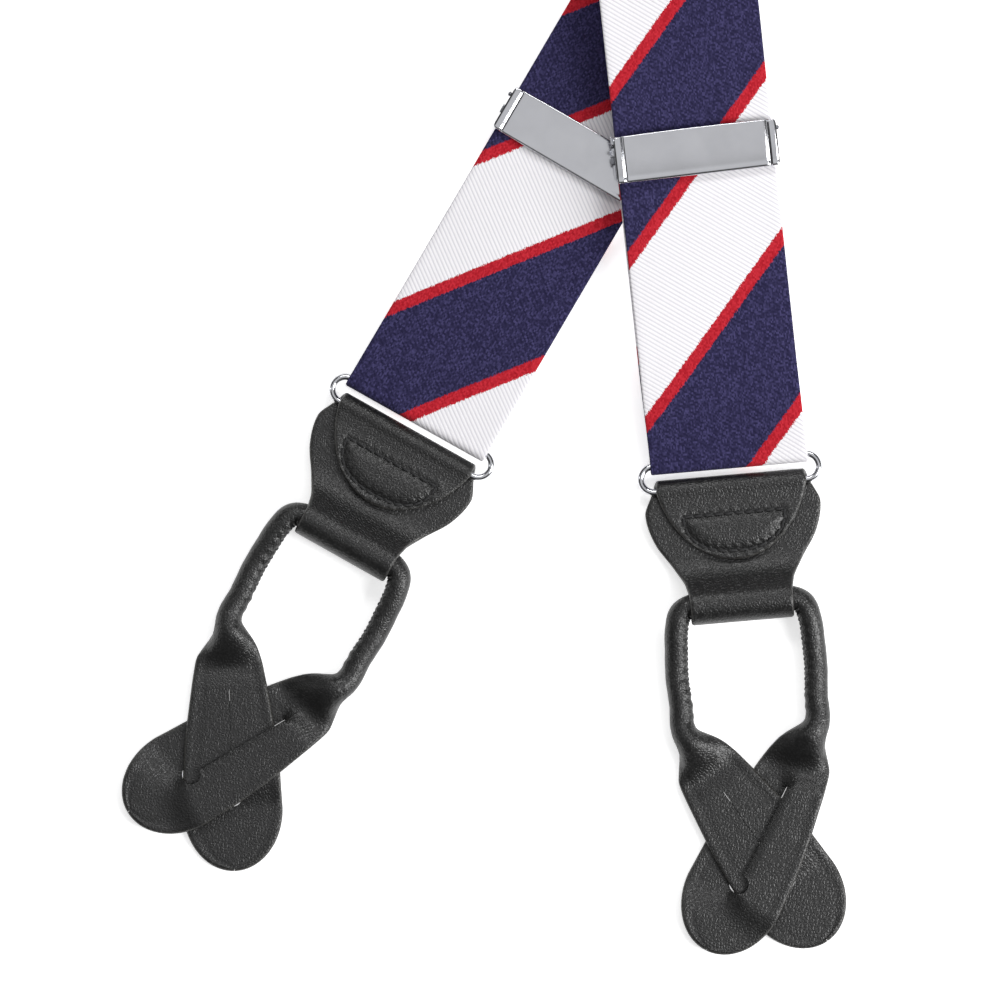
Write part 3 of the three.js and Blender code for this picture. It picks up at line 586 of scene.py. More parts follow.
def leather_grain() -> Tree:
    """Pebbled leather grain: cells of two sizes, with fine pores between them.

    Returns:
        A group with Height, Tone and Gloss outputs, all from 0 to 1.
    """
    sockets = {"Vector": ("NodeSocketVector", 0.0), "Cells": ("NodeSocketFloat", 1600.0)}
    group, g, source = new_group("leather_grain", sockets, ["Height", "Tone", "Gloss"])
    where, cells = source.outputs["Vector"], source.outputs["Cells"]
    bend = g.node("ShaderNodeTexNoise", {"Vector": where, "Scale": 500.0, "Detail": 2.0}).outputs["Color"]
    reach = (0.0005, 0.0005, 0.0005)
    drift = g.node("ShaderNodeVectorMath", {0: bend, 1: reach}, operation="MULTIPLY").outputs[0]
    place = g.node("ShaderNodeVectorMath", {0: where, 1: drift}, operation="ADD").outputs[0]
    inputs = {"Vector": place, "Scale": cells}
    coarse = g.node("ShaderNodeTexVoronoi", inputs, feature="DISTANCE_TO_EDGE").outputs[0]
    pebble = g.step(coarse, 0.0, 0.28)
    fine = g.noise(place, 5200.0, 3.0, 0.6)
    height = g.weighted((pebble, 0.88), (fine, 0.12))
    cloud = g.noise(where, 90.0, 3.0, 0.55)
    # Tone is partly painted shade: it follows Height, so the grooves between the pebbles are darker; the
    # cloud adds a random tone.
    tone = g.weighted((height, 0.45), (cloud, 0.55))
    gloss = g.math("ADD", g.weighted((pebble, -0.3), (cloud, 0.6)), 0.35)
    g.node("NodeGroupOutput", {"Height": height, "Tone": tone, "Gloss": gloss})
    return group


def thread_cells() -> Tree:
    """Woven threads: a lay map in metres is cut into thread cells with diagonal ribs.

    A cell's number is the whole part of its distance divided by the thread's pitch, and
    the rib is a sine of the distance square to the twill line.

    Returns:
        A group with Height, Fleck (one random value a thread) and Rib outputs.
    """
    sockets = {
        "Across": ("NodeSocketFloat", 0.0),
        "Along": ("NodeSocketFloat", 0.0),
        "Pitch": ("NodeSocketFloat", 0.00034),
        "Rib Pitch": ("NodeSocketFloat", 0.0009),
        "Rib Angle": ("NodeSocketFloat", 0.63),
    }
    group, g, source = new_group("thread_cells", sockets, ["Height", "Fleck", "Rib"])
    across, along, pitch = (source.outputs[label] for label in ("Across", "Along", "Pitch"))
    i = g.math("FLOOR", g.math("DIVIDE", across, pitch))
    j = g.math("FLOOR", g.math("DIVIDE", along, g.math("MULTIPLY", pitch, 1.35)))
    cell = g.node("ShaderNodeCombineXYZ", {"X": i, "Y": j}).outputs[0]
    fleck = g.node("ShaderNodeTexWhiteNoise", {"Vector": cell}, noise_dimensions="2D").outputs[0]
    angle = source.outputs["Rib Angle"]
    square = g.weighted((across, g.math("SINE", angle)), (along, g.math("COSINE", angle)))
    turns = g.math("DIVIDE", square, source.outputs["Rib Pitch"])
    rib = g.math("MULTIPLY_ADD", g.math("SINE", g.math("MULTIPLY", turns, 2 * math.pi)), 0.5, 0.5)
    knuckle = g.math("SINE", g.math("MULTIPLY", g.math("DIVIDE", across, pitch), 2 * math.pi))
    height = g.weighted((rib, 0.6), (fleck, 0.3), (knuckle, 0.08))
    g.node("NodeGroupOutput", {"Height": height, "Fleck": fleck, "Rib": rib})
    return group


def handling_marks() -> Tree:
    """Fine marks of handling on plated metal: long scratches one way and soft clouding.

    Returns:
        A group with Scratch and Cloud outputs.
    """
    sockets = {"Vector": ("NodeSocketVector", 0.0)}
    group, g, source = new_group("handling_marks", sockets, ["Scratch", "Cloud"])
    where = source.outputs["Vector"]
    drawn = g.node("ShaderNodeMapping", {"Vector": where, "Scale": (60.0, 2600.0, 900.0)}).outputs[0]
    scratch = g.step(g.noise(drawn, 1.0, 3.0, 0.65), 0.42, 0.75)
    cloud = g.noise(where, 160.0, 3.0, 0.5)
    g.node("NodeGroupOutput", {"Scratch": scratch, "Cloud": cloud})
    return group


GROUPS: dict[str, Tree] = {}


def shared_group(maker: Callable[[], Tree]) -> Tree:
    """The node group that a function makes, built the first time it is asked for."""
    if maker.__name__ not in GROUPS:
        GROUPS[maker.__name__] = maker()
    return GROUPS[maker.__name__]


def start_material(
    name: str, constants: dict[str, object]
) -> tuple[Material, Graph, Node]:
    """A new material with its constants set on the Principled shader's own sockets."""
    material = bpy.data.materials.new(name)
    material.use_nodes = True
    shader = material.node_tree.nodes["Principled BSDF"]
    for label, value in constants.items():
        shader.inputs[label].default_value = value
    return material, Graph(material.node_tree), shader


def lay_map(g: Graph) -> tuple[Socket, Socket]:
    """The distances across and along a piece, in metres, from its lay map."""
    split = g.node("ShaderNodeSeparateXYZ", {0: g.node("ShaderNodeUVMap", uv_map="lay").outputs[0]})
    return split.outputs[0], split.outputs[1]


def edge_mark(g: Graph) -> Socket:
    """1 on a cut edge and 0 on a face."""
    return g.node("ShaderNodeAttribute", attribute_name="edge").outputs["Fac"]


def weave_node(g: Graph, across: Socket, along: Socket) -> Node:
    """The woven threads' group node, fed with the distances of a lay map."""
    weave = g.node("ShaderNodeGroup", node_tree=shared_group(thread_cells))
    g.link(across, weave.inputs["Across"])
    g.link(along, weave.inputs["Along"])
    return weave


def roughen(g: Graph, shader: Node, height: Socket, depth: float, strength: float) -> None:
    """Bumps a shader's surface by a height, where 1 stands for a depth in metres."""
    inputs = {"Height": height, "Distance": depth, "Strength": strength}
    g.link(g.node("ShaderNodeBump", inputs).outputs[0], shader.inputs["Normal"])


# ---------------- finishes
@dataclass(frozen=True)
class LeatherFinish:
    """Black pebbled leather whose cut edges carry a patchy painted highlight."""

    name: str = "black_leather"
    dark: Colour = (12, 12, 12)
    light: Colour = (30, 30, 30)
    rim_highlight: Colour = (56, 55, 53)
    cells: float = 1300.0
    grain_depth: float = 0.00007
    roughness: tuple[float, float] = (0.33, 0.44)

    def build(self) -> Material:
        """Makes the material."""
        material, g, shader = start_material(self.name, {"Specular IOR Level": 0.62, "IOR": 1.5})
        where = g.node("ShaderNodeTexCoord").outputs["Object"]
        grain = g.node("ShaderNodeGroup", node_tree=shared_group(leather_grain))
        g.link(where, grain.inputs["Vector"])
        grain.inputs["Cells"].default_value = self.cells
        # The grain's Tone carries painted shade in the pebbles' grooves, along with random tone.
        colour = g.blend(grain.outputs["Tone"], shade(*self.dark), shade(*self.light))
        # Painted highlight: the rounded cut edges are coloured paler in patches, standing in for the light
        # they catch.
        rim_highlight_mask = g.math("MULTIPLY", edge_mark(g), g.step(g.noise(where, 300.0, 3.0), 0.35, 0.6, 0.35, 1.0))
        g.link(g.blend(rim_highlight_mask, colour, shade(*self.rim_highlight)), shader.inputs["Base Color"])
        g.link(g.step(grain.outputs["Gloss"], 0.0, 1.0, *self.roughness[::-1]), shader.inputs["Roughness"])
        roughen(g, shader, grain.outputs["Height"], self.grain_depth, 0.8)
        return material


@dataclass(frozen=True)
class RibbonFinish:
    """Woven ribbon with diagonal navy and white bands parted by thin red stripes.

    A point's place in the pattern is (along - slope * (across + edge) - start) / pitch.
    Its whole part picks navy or white, and near a whole number it is red.
    """

    name: str
    slope: float
    pitch: float
    start: float
    edge: float = 0.019
    red_share: float = 0.054
    navy: Colour = (26, 23, 56)
    navy_light: Colour = (72, 68, 112)
    white: Colour = (243, 241, 244)
    white_shadow: Colour = (218, 216, 222)
    red: Colour = (164, 12, 30)
    red_light: Colour = (206, 44, 58)
    thread: float = 0.00034

    def build(self) -> Material:
        """Makes the material."""
        constants = {"Sheen Weight": 0.04, "Sheen Roughness": 0.5}
        constants |= {"Specular IOR Level": 0.2, "Roughness": 0.85}
        material, g, shader = start_material(self.name, constants)
        across, along = lay_map(g)
        weave = weave_node(g, across, along)
        weave.inputs["Pitch"].default_value = self.thread
        fleck, rib = weave.outputs["Fleck"], weave.outputs["Rib"]
        stepped = g.math("MULTIPLY", g.math("ROUND", g.math("DIVIDE", across, self.thread)), self.thread)
        ragged = g.math("MULTIPLY", g.math("SUBTRACT", fleck, 0.5), 0.0005)
        rise = g.math("MULTIPLY", g.math("ADD", stepped, self.edge), -self.slope)
        level = g.math("SUBTRACT", g.math("ADD", g.math("ADD", along, ragged), rise), self.start)
        band = g.math("DIVIDE", level, self.pitch)
        share = g.math("FRACT", band)
        parity = g.math("ABSOLUTE", g.math("MODULO", g.math("FLOOR", band), 2.0))
        near = g.math("MINIMUM", share, g.math("SUBTRACT", 1.0, share))
        is_red = g.math("LESS_THAN", near, self.red_share)
        is_navy = g.math("GREATER_THAN", parity, 0.5)
        speck = g.math("MULTIPLY", g.math("POWER", fleck, 2.2), 0.75)
        # Navy: random pale thread specks, plus a painted highlight on the twill ribs' crests.
        speck_and_rib_highlight = g.math("ADD", speck, g.math("MULTIPLY", rib, 0.14))
        navy = g.blend(speck_and_rib_highlight, shade(*self.navy), shade(*self.navy_light))
        # White: painted shade in the twill ribs' valleys.
        white = g.blend(g.step(rib, 0.5, 0.0), shade(*self.white), shade(*self.white_shadow))
        red = g.blend(g.math("MULTIPLY", fleck, 0.8), shade(*self.red), shade(*self.red_light))
        g.link(g.blend(is_red, g.blend(is_navy, white, navy), red), shader.inputs["Base Color"])
        roughen(g, shader, weave.outputs["Height"], 0.00012, 0.55)
        return material


@dataclass(frozen=True)
class ElasticFinish:
    """Ribbed elastic: cords along the strap with fine threads over them."""

    name: str = "ribbed_elastic"
    dark: Colour = (16, 16, 18)
    light: Colour = (46, 46, 50)
    rib_pitch: float = 0.0014

    def build(self) -> Material:
        """Makes the material."""
        material, g, shader = start_material(self.name, {"Roughness": 0.85, "Sheen Weight": 0.2})
        across, along = lay_map(g)
        cord = g.math("SINE", g.math("MULTIPLY", across, 2 * math.pi / self.rib_pitch))
        cord = g.math("MULTIPLY_ADD", cord, 0.5, 0.5)
        weave = weave_node(g, across, along)
        # Partly painted light: the cords' crests are coloured lighter and the grooves between them darker;
        # the fleck is a random thread tone.
        tone = g.weighted((cord, 0.6), (weave.outputs["Fleck"], 0.4))
        g.link(g.blend(tone, shade(*self.dark), shade(*self.light)), shader.inputs["Base Color"])
        roughen(g, shader, g.weighted((cord, 0.8), (weave.outputs["Height"], 0.3)), 0.0003, 0.8)
        return material


@dataclass(frozen=True)
class TwistFinish:
    """Twisted thread or cord, with the twist's fine ribs."""

    name: str
    dark: Colour
    light: Colour
    twist: float = 1900.0
    roughness: float = 0.75

    def build(self) -> Material:
        """Makes the material."""
        material, g, shader = start_material(self.name, {"Roughness": self.roughness, "Sheen Weight": 0.15})
        where = g.node("ShaderNodeTexCoord").outputs["Object"]
        inputs = {"Vector": where, "Scale": self.twist, "Distortion": 1.5, "Detail": 1.0}
        ply = g.node("ShaderNodeTexWave", inputs, bands_direction="DIAGONAL").outputs["Fac"]
        fluff = g.noise(where, 6000.0, 2.0)
        # Partly painted shade: the plies' grooves are coloured darker than their crests, the same tone that
        # bumps them; the fluff adds random tone.
        tone = g.weighted((ply, 0.6), (fluff, 0.4))
        g.link(g.blend(tone, shade(*self.dark), shade(*self.light)), shader.inputs["Base Color"])
        roughen(g, shader, tone, 0.00008, 0.7)
        return material


@dataclass(frozen=True)
class PlatedFinish:
    """Nickel plate, polished or satin, with faint handling marks."""

    name: str
    bright: Colour = (214, 215, 219)
    dull: Colour = (196, 197, 201)
    roughness: tuple[float, float] = (0.16, 0.26)

    def build(self) -> Material:
        """Makes the material."""
        material, g, shader = start_material(self.name, {"Metallic": 1.0})
        where = g.node("ShaderNodeTexCoord").outputs["Object"]
        marks = g.node("ShaderNodeGroup", {"Vector": where}, node_tree=shared_group(handling_marks))
        cloud, scratch = marks.outputs["Cloud"], marks.outputs["Scratch"]
        g.link(g.blend(cloud, shade(*self.dull), shade(*self.bright)), shader.inputs["Base Color"])
        rough = g.weighted((scratch, 0.25), (cloud, 0.3))
        g.link(g.step(rough, 0.0, 1.0, *self.roughness), shader.inputs["Roughness"])
        roughen(g, shader, scratch, 0.000002, 0.2)
        return material


@dataclass(frozen=True)
class Finishes:
    """Every finish of the braces, each built once."""

    leather: Material
    left_ribbon: Material
    right_ribbon: Material
    elastic: Material
    thread: Material
    cord: Material
    wire: Material
    plate: Material
    pins: Material

    @staticmethod
    def mixed() -> Finishes:
        """Builds every finish."""
        return Finishes(
            leather=LeatherFinish().build(),
            left_ribbon=RibbonFinish("left_ribbon", slope=1.30, pitch=0.0418, start=0.0214).build(),
            right_ribbon=RibbonFinish("right_ribbon", slope=1.095, pitch=0.0396, start=0.0134).build(),
            elastic=ElasticFinish().build(),
            thread=TwistFinish("black_thread", (14, 14, 15), (44, 44, 46)).build(),
            cord=TwistFinish("cotton_cord", (150, 142, 122), (204, 198, 182), 700.0, 0.9).build(),
            wire=PlatedFinish("polished_wire").build(),
            plate=PlatedFinish("satin_plate", roughness=(0.14, 0.2)).build(),
            pins=PlatedFinish("dark_pin_plate", (150, 151, 156), (104, 105, 110)).build(),
        )


@dataclass
class Outfitter:
    """Dresses a finished piece: its material and its body, and hides the CAD node it stands for."""

    finishes: Finishes

    def dress(
        self, obj: Piece, material: Material, slot: Slot, node: str, body: str | None
    ) -> Piece:
        """Gives a piece its material, slot and node, and its body unless it bends between two.

        Args:
            obj: The piece.
            material: Its finish.
            slot: The record's slot; not used.
            node: The CAD node it stands for.
            body: The body it rides on, or None.

        Returns:
            The piece.
        """
        obj.data.materials.clear()
        obj.data.materials.append(material)
        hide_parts(node)
        if body is not None:
            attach(obj, body)
        log.info("%s: %d faces on %s", obj.name, len(obj.data.polygons), body or "two bodies")
        return obj


# ---------------- sizes from the part
@dataclass(frozen=True)
class RibbonSizes:
    """The woven strap and how it folds round its ring."""

    width: float = 37.8
    thickness: float = 1.0


@dataclass(frozen=True)
class RingSizes:
    """The stadium-shaped wire ring."""

    wire_radius: float = 0.8
    bar_spacing: float = 6.2
    bar_inset: float = 0.6


@dataclass(frozen=True)
class TabSizes:
    """The folded leather tab."""

    thickness: float = 1.5
    fold_play: float = 0.4
    flap_length: float = 20.4
    flap_inset: float = 0.5
    channel_y: float = -31.0
    neck_half_width: float = 12.3
    shoulder_overhang: float = 2.7


@dataclass(frozen=True)
class LoopSizes:
    """The rolled loop, its leaves and its ears."""

    thickness: float = 1.2
    rolled_half_width: float = 6.6
    wrap_angle: float = math.radians(330)
    core_radius: float = 1.25
    leg_half_span: float = 16.6
    crossing_drop: float = 58.0
    leaf_angle: float = math.radians(30.6)
    ear_tip: float = 28.8
    ear_length: float = 15.0
    ear_half_width: float = 12.0
    leaf_half_width_at_crossing: float = 11.3
    leaf_half_width_at_roll: float = 7.1
    rolled_from: float = 64.0
    flat_up_to: float = 48.0
    seam_turned_from: float = 72.0
    unroll_lift: float = 8.6
    hole_radius: float = 2.3
    slit_half_width: float = 0.05
    slit_length: float = 26.2
    hole_from_tip: float = 17.8


LOOP_SWAYS = {"left": math.radians(0.3), "right": math.radians(-0.7), "back": 0.0}
ELASTIC_END_Y = 18.3
RIBBON, RING, TAB, LOOP = RibbonSizes(), RingSizes(), TabSizes(), LoopSizes()
RING_Z = RING.wire_radius + TAB.fold_play + TAB.thickness
TAB_FOLD_RADIUS = RING.wire_radius + TAB.fold_play + TAB.thickness / 2
STRAP_FOLD_RADIUS = RING.wire_radius + CLEARANCE + RIBBON.thickness / 2
RUN_Z = RING_Z + STRAP_FOLD_RADIUS
BAR_Y = RING.bar_spacing / 2
BAR_LENGTH = RIBBON.width - 2 * RING.bar_inset
FLAP_HALF = RIBBON.width / 2 - TAB.flap_inset
SHOULDER_HALF = FLAP_HALF + TAB.shoulder_overhang
ROLL_RADIUS = 2 * LOOP.rolled_half_width / LOOP.wrap_angle
ROLL_OUTER = ROLL_RADIUS + LOOP.thickness / 2
CHANNEL_RADIUS = ROLL_OUTER + CLEARANCE + TAB.thickness / 2
CHANNEL_Z = TAB.thickness / 2 + CHANNEL_RADIUS
SLIT_FROM = LOOP.ear_tip - LOOP.hole_from_tip - LOOP.slit_length
SLIT_TO = LOOP.ear_tip - LOOP.hole_from_tip + LOOP.hole_radius


@dataclass(frozen=True)
class EndFrames:
    """The axes of one end, read from the part's joints: the strap's own and the ring's."""

    name: str
    strap: Axes
    ring: Axes

    @staticmethod
    def read(name: str) -> EndFrames:
        """Finds an end's axes from its ring's and tab's hinges and its adjuster's slide.

        The hinges lie on the ring's two bars, so the ring's middle is halfway between
        them and y runs from the tab's to the ring's.

        Args:
            name: left, right or back.

        Returns:
            The end's axes.
        """
        joints = {joint["name"]: joint for joint in frame["joints"]}
        upper = np.array(joints[f"{name}_ring_hinge"]["pos_m"]) / MM
        lower = np.array(joints[f"{name}_tab_hinge"]["pos_m"]) / MM
        origin = (upper + lower) / 2 - RING_Z * UP
        slide = joints.get(f"{name}_adjuster_slide")
        leading = np.array(slide["axis"]) * [1, 1, 0] if slide else upper - lower
        return EndFrames(name, EndFrames.standing(origin, leading), EndFrames.standing(origin, upper - lower))

    @staticmethod
    def standing(origin: Array, leading: Array) -> Axes:
        """Upright axes whose y runs along a level direction."""
        v = unit(leading)
        return Axes(origin, np.array([np.cross(v, UP), v, UP]))


@dataclass
class EndWork:
    """What is built at one end, with the end's name before each piece, node and body."""

    end: EndFrames
    outfitter: Outfitter

    @property
    def finishes(self) -> Finishes:
        """The braces' finishes."""
        return self.outfitter.finishes

    def finish(
        self, made: Shell, piece: str, material: Material, slot: Slot, node: str, body: str, **how: float
    ) -> Piece:
        """Builds a shell and dresses it.

        Args:
            made: The shell.
            piece: The piece's name.
            material: Its finish.
            slot: The record's slot.
            node: The CAD node it stands for.
            body: The body it rides on.
            how: What else the shell's build takes.

        Returns:
            The piece.
        """
        name = self.end.name
        obj = made.build(f"{name}_{piece}", **how)
        return self.outfitter.dress(obj, material, slot, f"{name}_{node}", f"{name}_{body}")


# ---------------- ring
class WireRing(EndWork):
    """One stadium-shaped ring of plated wire."""

    def build(self) -> None:
        """Bends the wire: half turns of radius bar spacing / 2 round each end of the bars."""
        half = BAR_LENGTH / 2
        angle = np.linspace(-np.pi / 2, np.pi / 2, 22)
        bend = np.stack([half + BAR_Y * np.cos(angle), BAR_Y * np.sin(angle)], axis=1)
        bar = np.stack([np.linspace(half, -half, 14)[1:-1], np.full(12, BAR_Y)], axis=1)
        outline = np.vstack([bend, bar, -bend, -bar])
        line = np.column_stack([outline, np.full(len(outline), RING_Z)])
        shell = Shell(self.end.ring)
        shell.add_tube(tube_grid(line, RING.wire_radius, 20, closed=True), ring=True)
        self.finish(shell, "ring_wire", self.finishes.wire, Slot.WIRE, "ring", "ring")


# ---------------- tab
@dataclass
class LeatherTab(EndWork):
    """One folded tab: a flap in front of the ring, a back layer, a channel and a front."""

    seam_half_width: float = 0.66 * FLAP_HALF
    seam_top: float = -0.4 - 0.45 * TAB.flap_length
    seam_depth: float = 0.44 * TAB.flap_length
    stitch_pitch: float = 2.45

    def half_width(self, y: Array) -> Array:
        """Half the width of the layers behind the flap, wide at the shoulders."""
        neck = TAB.neck_half_width
        knots = [
            (TAB.channel_y - CHANNEL_RADIUS, neck),
            (TAB.channel_y + 4, neck + 0.4),
            (-22, mix(neck, SHOULDER_HALF, 0.34)),
            (-15.6, mix(neck, SHOULDER_HALF, 0.8)),
            (-8.6, SHOULDER_HALF),
            (-4.5, SHOULDER_HALF - 1.6),
            (-2.4, FLAP_HALF),
        ]
        return through(knots, y)

    def stations(self) -> Stations:
        """The strip's path from the flap's tip round the bar and the roll to its end.

        The flap's outline is the superellipse half = full * sqrt(1 - t^1.7), run through
        by the angle whose sine is half / full.

        Returns:
            The stations.
        """
        full_turn = math.acos(((BAR_Y - 0.4) / TAB.flap_length) ** 0.85)
        turn = np.r_[0.001, np.linspace(0.012, full_turn, 60)]
        flap_y = -0.4 - TAB.flap_length * np.cos(turn) ** (2 / 1.7)
        flap_z = RING_Z + TAB_FOLD_RADIUS
        flap = np.column_stack([flap_y, np.full(len(turn), flap_z)])
        flap_half = FLAP_HALF * np.sin(turn)
        fold = arc((-BAR_Y, RING_Z), TAB_FOLD_RADIUS, 90, -90, 18)[1:-1]
        over = np.linspace(0, 1, 19)[1:-1]
        fold_half = mix(flap_half[-1], self.half_width(np.array(-BAR_Y)), smooth(0, 1, over))
        fold_half = fold_half - 0.5 * np.sin(np.pi * over)
        back_y = np.linspace(-BAR_Y, TAB.channel_y, 34)
        back = np.column_stack([back_y, np.full(34, RING_Z - TAB_FOLD_RADIUS)])
        leave = 50
        channel = arc((TAB.channel_y, CHANNEL_Z), CHANNEL_RADIUS, 270, leave, 34)[1:]
        slope = -1 / math.tan(math.radians(leave))
        foot_y = channel[-1, 0] + (RING_Z - channel[-1, 1]) / slope
        start_y = mix(channel[-1, 0], foot_y, 0.45)
        t = np.linspace(0, 1, 12)[:, None]
        start = np.array([start_y, channel[-1, 1] + slope * (start_y - channel[-1, 0])])
        foot, finish = np.array([foot_y, RING_Z]), np.array([foot_y + 4, RING_Z])
        rise = start * (1 - t) ** 2 + 2 * foot * t * (1 - t) + finish * t**2
        top_y = -BAR_Y - RING.wire_radius - CLEARANCE
        front_y = np.linspace(foot_y + 4, top_y, 22)[1:]
        front = np.column_stack([front_y, np.full(21, RING_Z)])
        rest = np.vstack([back, channel, rise, front])
        path = np.vstack([flap, fold, rest])
        half = np.concatenate([flap_half, fold_half, self.half_width(rest[:, 0])])
        return Stations.folded(path, half)

    def seam(self) -> Array:
        """The D of the seam: x = w cos(a) and depth sin(a), each to the power 0.85."""
        angle = np.linspace(0, np.pi, 60)
        x = self.seam_half_width * np.sign(np.cos(angle)) * np.abs(np.cos(angle)) ** 0.85
        y = self.seam_top - self.seam_depth * np.abs(np.sin(angle)) ** 0.85
        return np.column_stack([x, y])

    def relief(self, stations: Stations) -> Height:
        """Height added to the leather: the seam's groove with puckers, a puff inside the D and two shallow
        valleys across the flap.
        """
        seam = self.seam()
        closed = np.vstack([seam, seam[:1]])
        run = lengths(closed)
        fine = np.arange(0, run[-1], 0.4)
        line = np.stack([np.interp(fine, run, closed[:, k]) for k in range(2)], axis=1)
        tip_y, seam_foot = stations.point[0, 1], self.seam_top - self.seam_depth
        flap_run = lengths(stations.point)
        flap_end = flap_run[np.argmax(stations.point[:, 1] >= -BAR_Y - 1e-6)]

        def height(across: Array, along: Array, out: Array) -> Array:
            """The relief at a distance across and along, on the flap's upper face."""
            y = tip_y + along
            gap = np.sqrt((across[..., None] - line[:, 0]) ** 2 + (y[..., None] - line[:, 1]) ** 2)
            nearest = gap.min(axis=-1)
            place = fine[gap.argmin(axis=-1)]
            pucker = np.cos(2 * np.pi * place / self.stitch_pitch)
            groove = -0.3 * bump(nearest, 0, 0.7) + 0.1 * pucker * bump(nearest, 0.95, 0.6)
            below = smooth(self.seam_top + 0.5, self.seam_top - 1.5, y)
            puff = 0.45 * below * smooth(0, 3.2, nearest) * (np.abs(across) < self.seam_half_width)
            inner = puff * smooth(seam_foot - 0.5, seam_foot + 1.5, y)
            valley = -0.35 * bump(y, self.seam_top + 2.6, 2.4) - 0.25 * bump(y, -3.6, 1.6)
            on_flap = smooth(flap_end, flap_end - 2, along)
            return (groove + inner + valley) * on_flap * (out > 0)

        return height

    def build(self) -> None:
        """Makes the tab and its seam."""
        stations = self.stations()
        shell = Shell(self.end.ring)
        shell.add_tube(*stations.swept(Section.of(TAB.thickness, 64, 0.8), self.relief(stations)))
        finishes = self.finishes
        self.finish(shell, "leather_tab", finishes.leather, Slot.LEATHER, "tab_leather", "tab")
        threads = Shell(self.end.ring)
        outline = self.seam()
        sunk_z = RING_Z + TAB_FOLD_RADIUS + TAB.thickness / 2 - 0.06
        line = np.column_stack([outline, np.full(len(outline), sunk_z)])
        places, along = resampled(line, self.stitch_pitch, closed=True)
        add_stitches(threads, places, along, UP, 0.86 * self.stitch_pitch, 0.27)
        self.finish(threads, "tab_stitches", finishes.thread, Slot.THREAD, "tab_stitch_thread", "tab")


# ---------------- loop
def on_leaf(from_crossing: float) -> tuple[float, float]:
    """A point of the right half of the loop's middle line, on its leaf."""
    x = -math.sin(LOOP.leaf_angle) * from_crossing
    return x, -LOOP.crossing_drop - math.cos(LOOP.leaf_angle) * from_crossing


class LoopLine:
    """The loop's middle line from the first ear's tip over the channel to the second's.

    It is a centripetal Catmull-Rom curve through points mirrored about the middle, with
    everything beyond the channel swung by a small angle.
    """

    def __init__(self, sway: float) -> None:
        """Samples the curve for a sway angle in radians."""
        span = LOOP.leg_half_span
        leg = [(0, 0), (6, 0), (span - 5.0, 0), (span - 2.0, -1.4), (span - 0.7, -5), (span - 0.2, -11)]
        leg += [(span, -17), (span - 0.4, -23.5)]
        leg += [on_leaf(t) for t in (-31.6, -23, -11.5, 0, 9, 18, LOOP.ear_tip)]
        half = np.array(leg, float)
        left = half[1:][::-1] * [-1, 1]
        points = np.column_stack([np.vstack([left, half]), np.zeros(2 * len(half) - 1)])
        points = turned(points, UP, sway * smooth(2, 20, -points[:, 1]))
        self.line = self.curve(points, 160)
        self.run = lengths(self.line)
        self.length = float(self.run[-1])
        self.along = unit(np.gradient(self.line, axis=0))

    @staticmethod
    def curve(points: Array, steps: int) -> Array:
        """Cubic pieces whose end slopes come from the square roots of the neighbouring gaps."""
        whole = np.vstack([2 * points[0] - points[1], points, 2 * points[-1] - points[-2]])
        gap = np.linalg.norm(np.diff(whole, axis=0), axis=1) ** 0.5
        p0, p1, p2, p3 = whole[:-3], whole[1:-2], whole[2:-1], whole[3:]
        g0, g1, g2 = gap[:-2, None], gap[1:-1, None], gap[2:, None]
        start = ((p1 - p0) / g0 - (p2 - p0) / (g0 + g1) + (p2 - p1) / g1) * g1
        end = ((p2 - p1) / g1 - (p3 - p1) / (g1 + g2) + (p3 - p2) / g2) * g1
        t = (np.arange(steps) / steps)[None, :, None]
        a, b, c, d = p1[:, None], p2[:, None], start[:, None], end[:, None]
        made = a + c * t + (3 * (b - a) - 2 * c - d) * t**2 + (2 * (a - b) + c + d) * t**3
        return np.vstack([made.reshape(-1, 3), points[-1:]])

    def at(self, along: Array) -> tuple[Array, Array]:
        """The point and the direction at a distance along the line."""
        place = np.clip(along, 0, self.length)
        point = np.stack([np.interp(place, self.run, self.line[:, k]) for k in range(3)], axis=-1)
        ahead = np.stack([np.interp(place, self.run, self.along[:, k]) for k in range(3)], axis=-1)
        return point, unit(ahead)


def leaf_height(second: Array, t: Array, across: Array) -> Array:
    """Height of the leaves' middle surface, where one passes through the other's slit.

    The second leaf parts along its slit: the half with positive across goes under the
    first leaf and the other half over it, and beyond the slit's ends it is only tilted.

    Args:
        second: Whether a point is on the second leaf.
        t: Distance from the crossing, growing towards the ear.
        across: Distance across from the leaf's middle line.

    Returns:
        The height above the table.
    """
    low, start, middle, high = (LOOP.thickness / 2 + k * (LOOP.thickness + CLEARANCE) for k in (0, 0.6, 1, 2))
    base = mix(start, middle, smooth(-20, -15.5, t))
    first = mix(base, low, smooth(6.5, 14, t))
    parting = smooth(SLIT_FROM - 8, SLIT_FROM - 1.8, t) * (1 - smooth(SLIT_TO + 0.7, SLIT_TO + 9, t))
    easing = 0.05 + 0.9 * np.maximum(np.maximum(SLIT_FROM - t, t - SLIT_TO), 0)
    parted = base - (high - middle) * parting * across / np.hypot(across, easing)
    return np.where(second, parted, first)


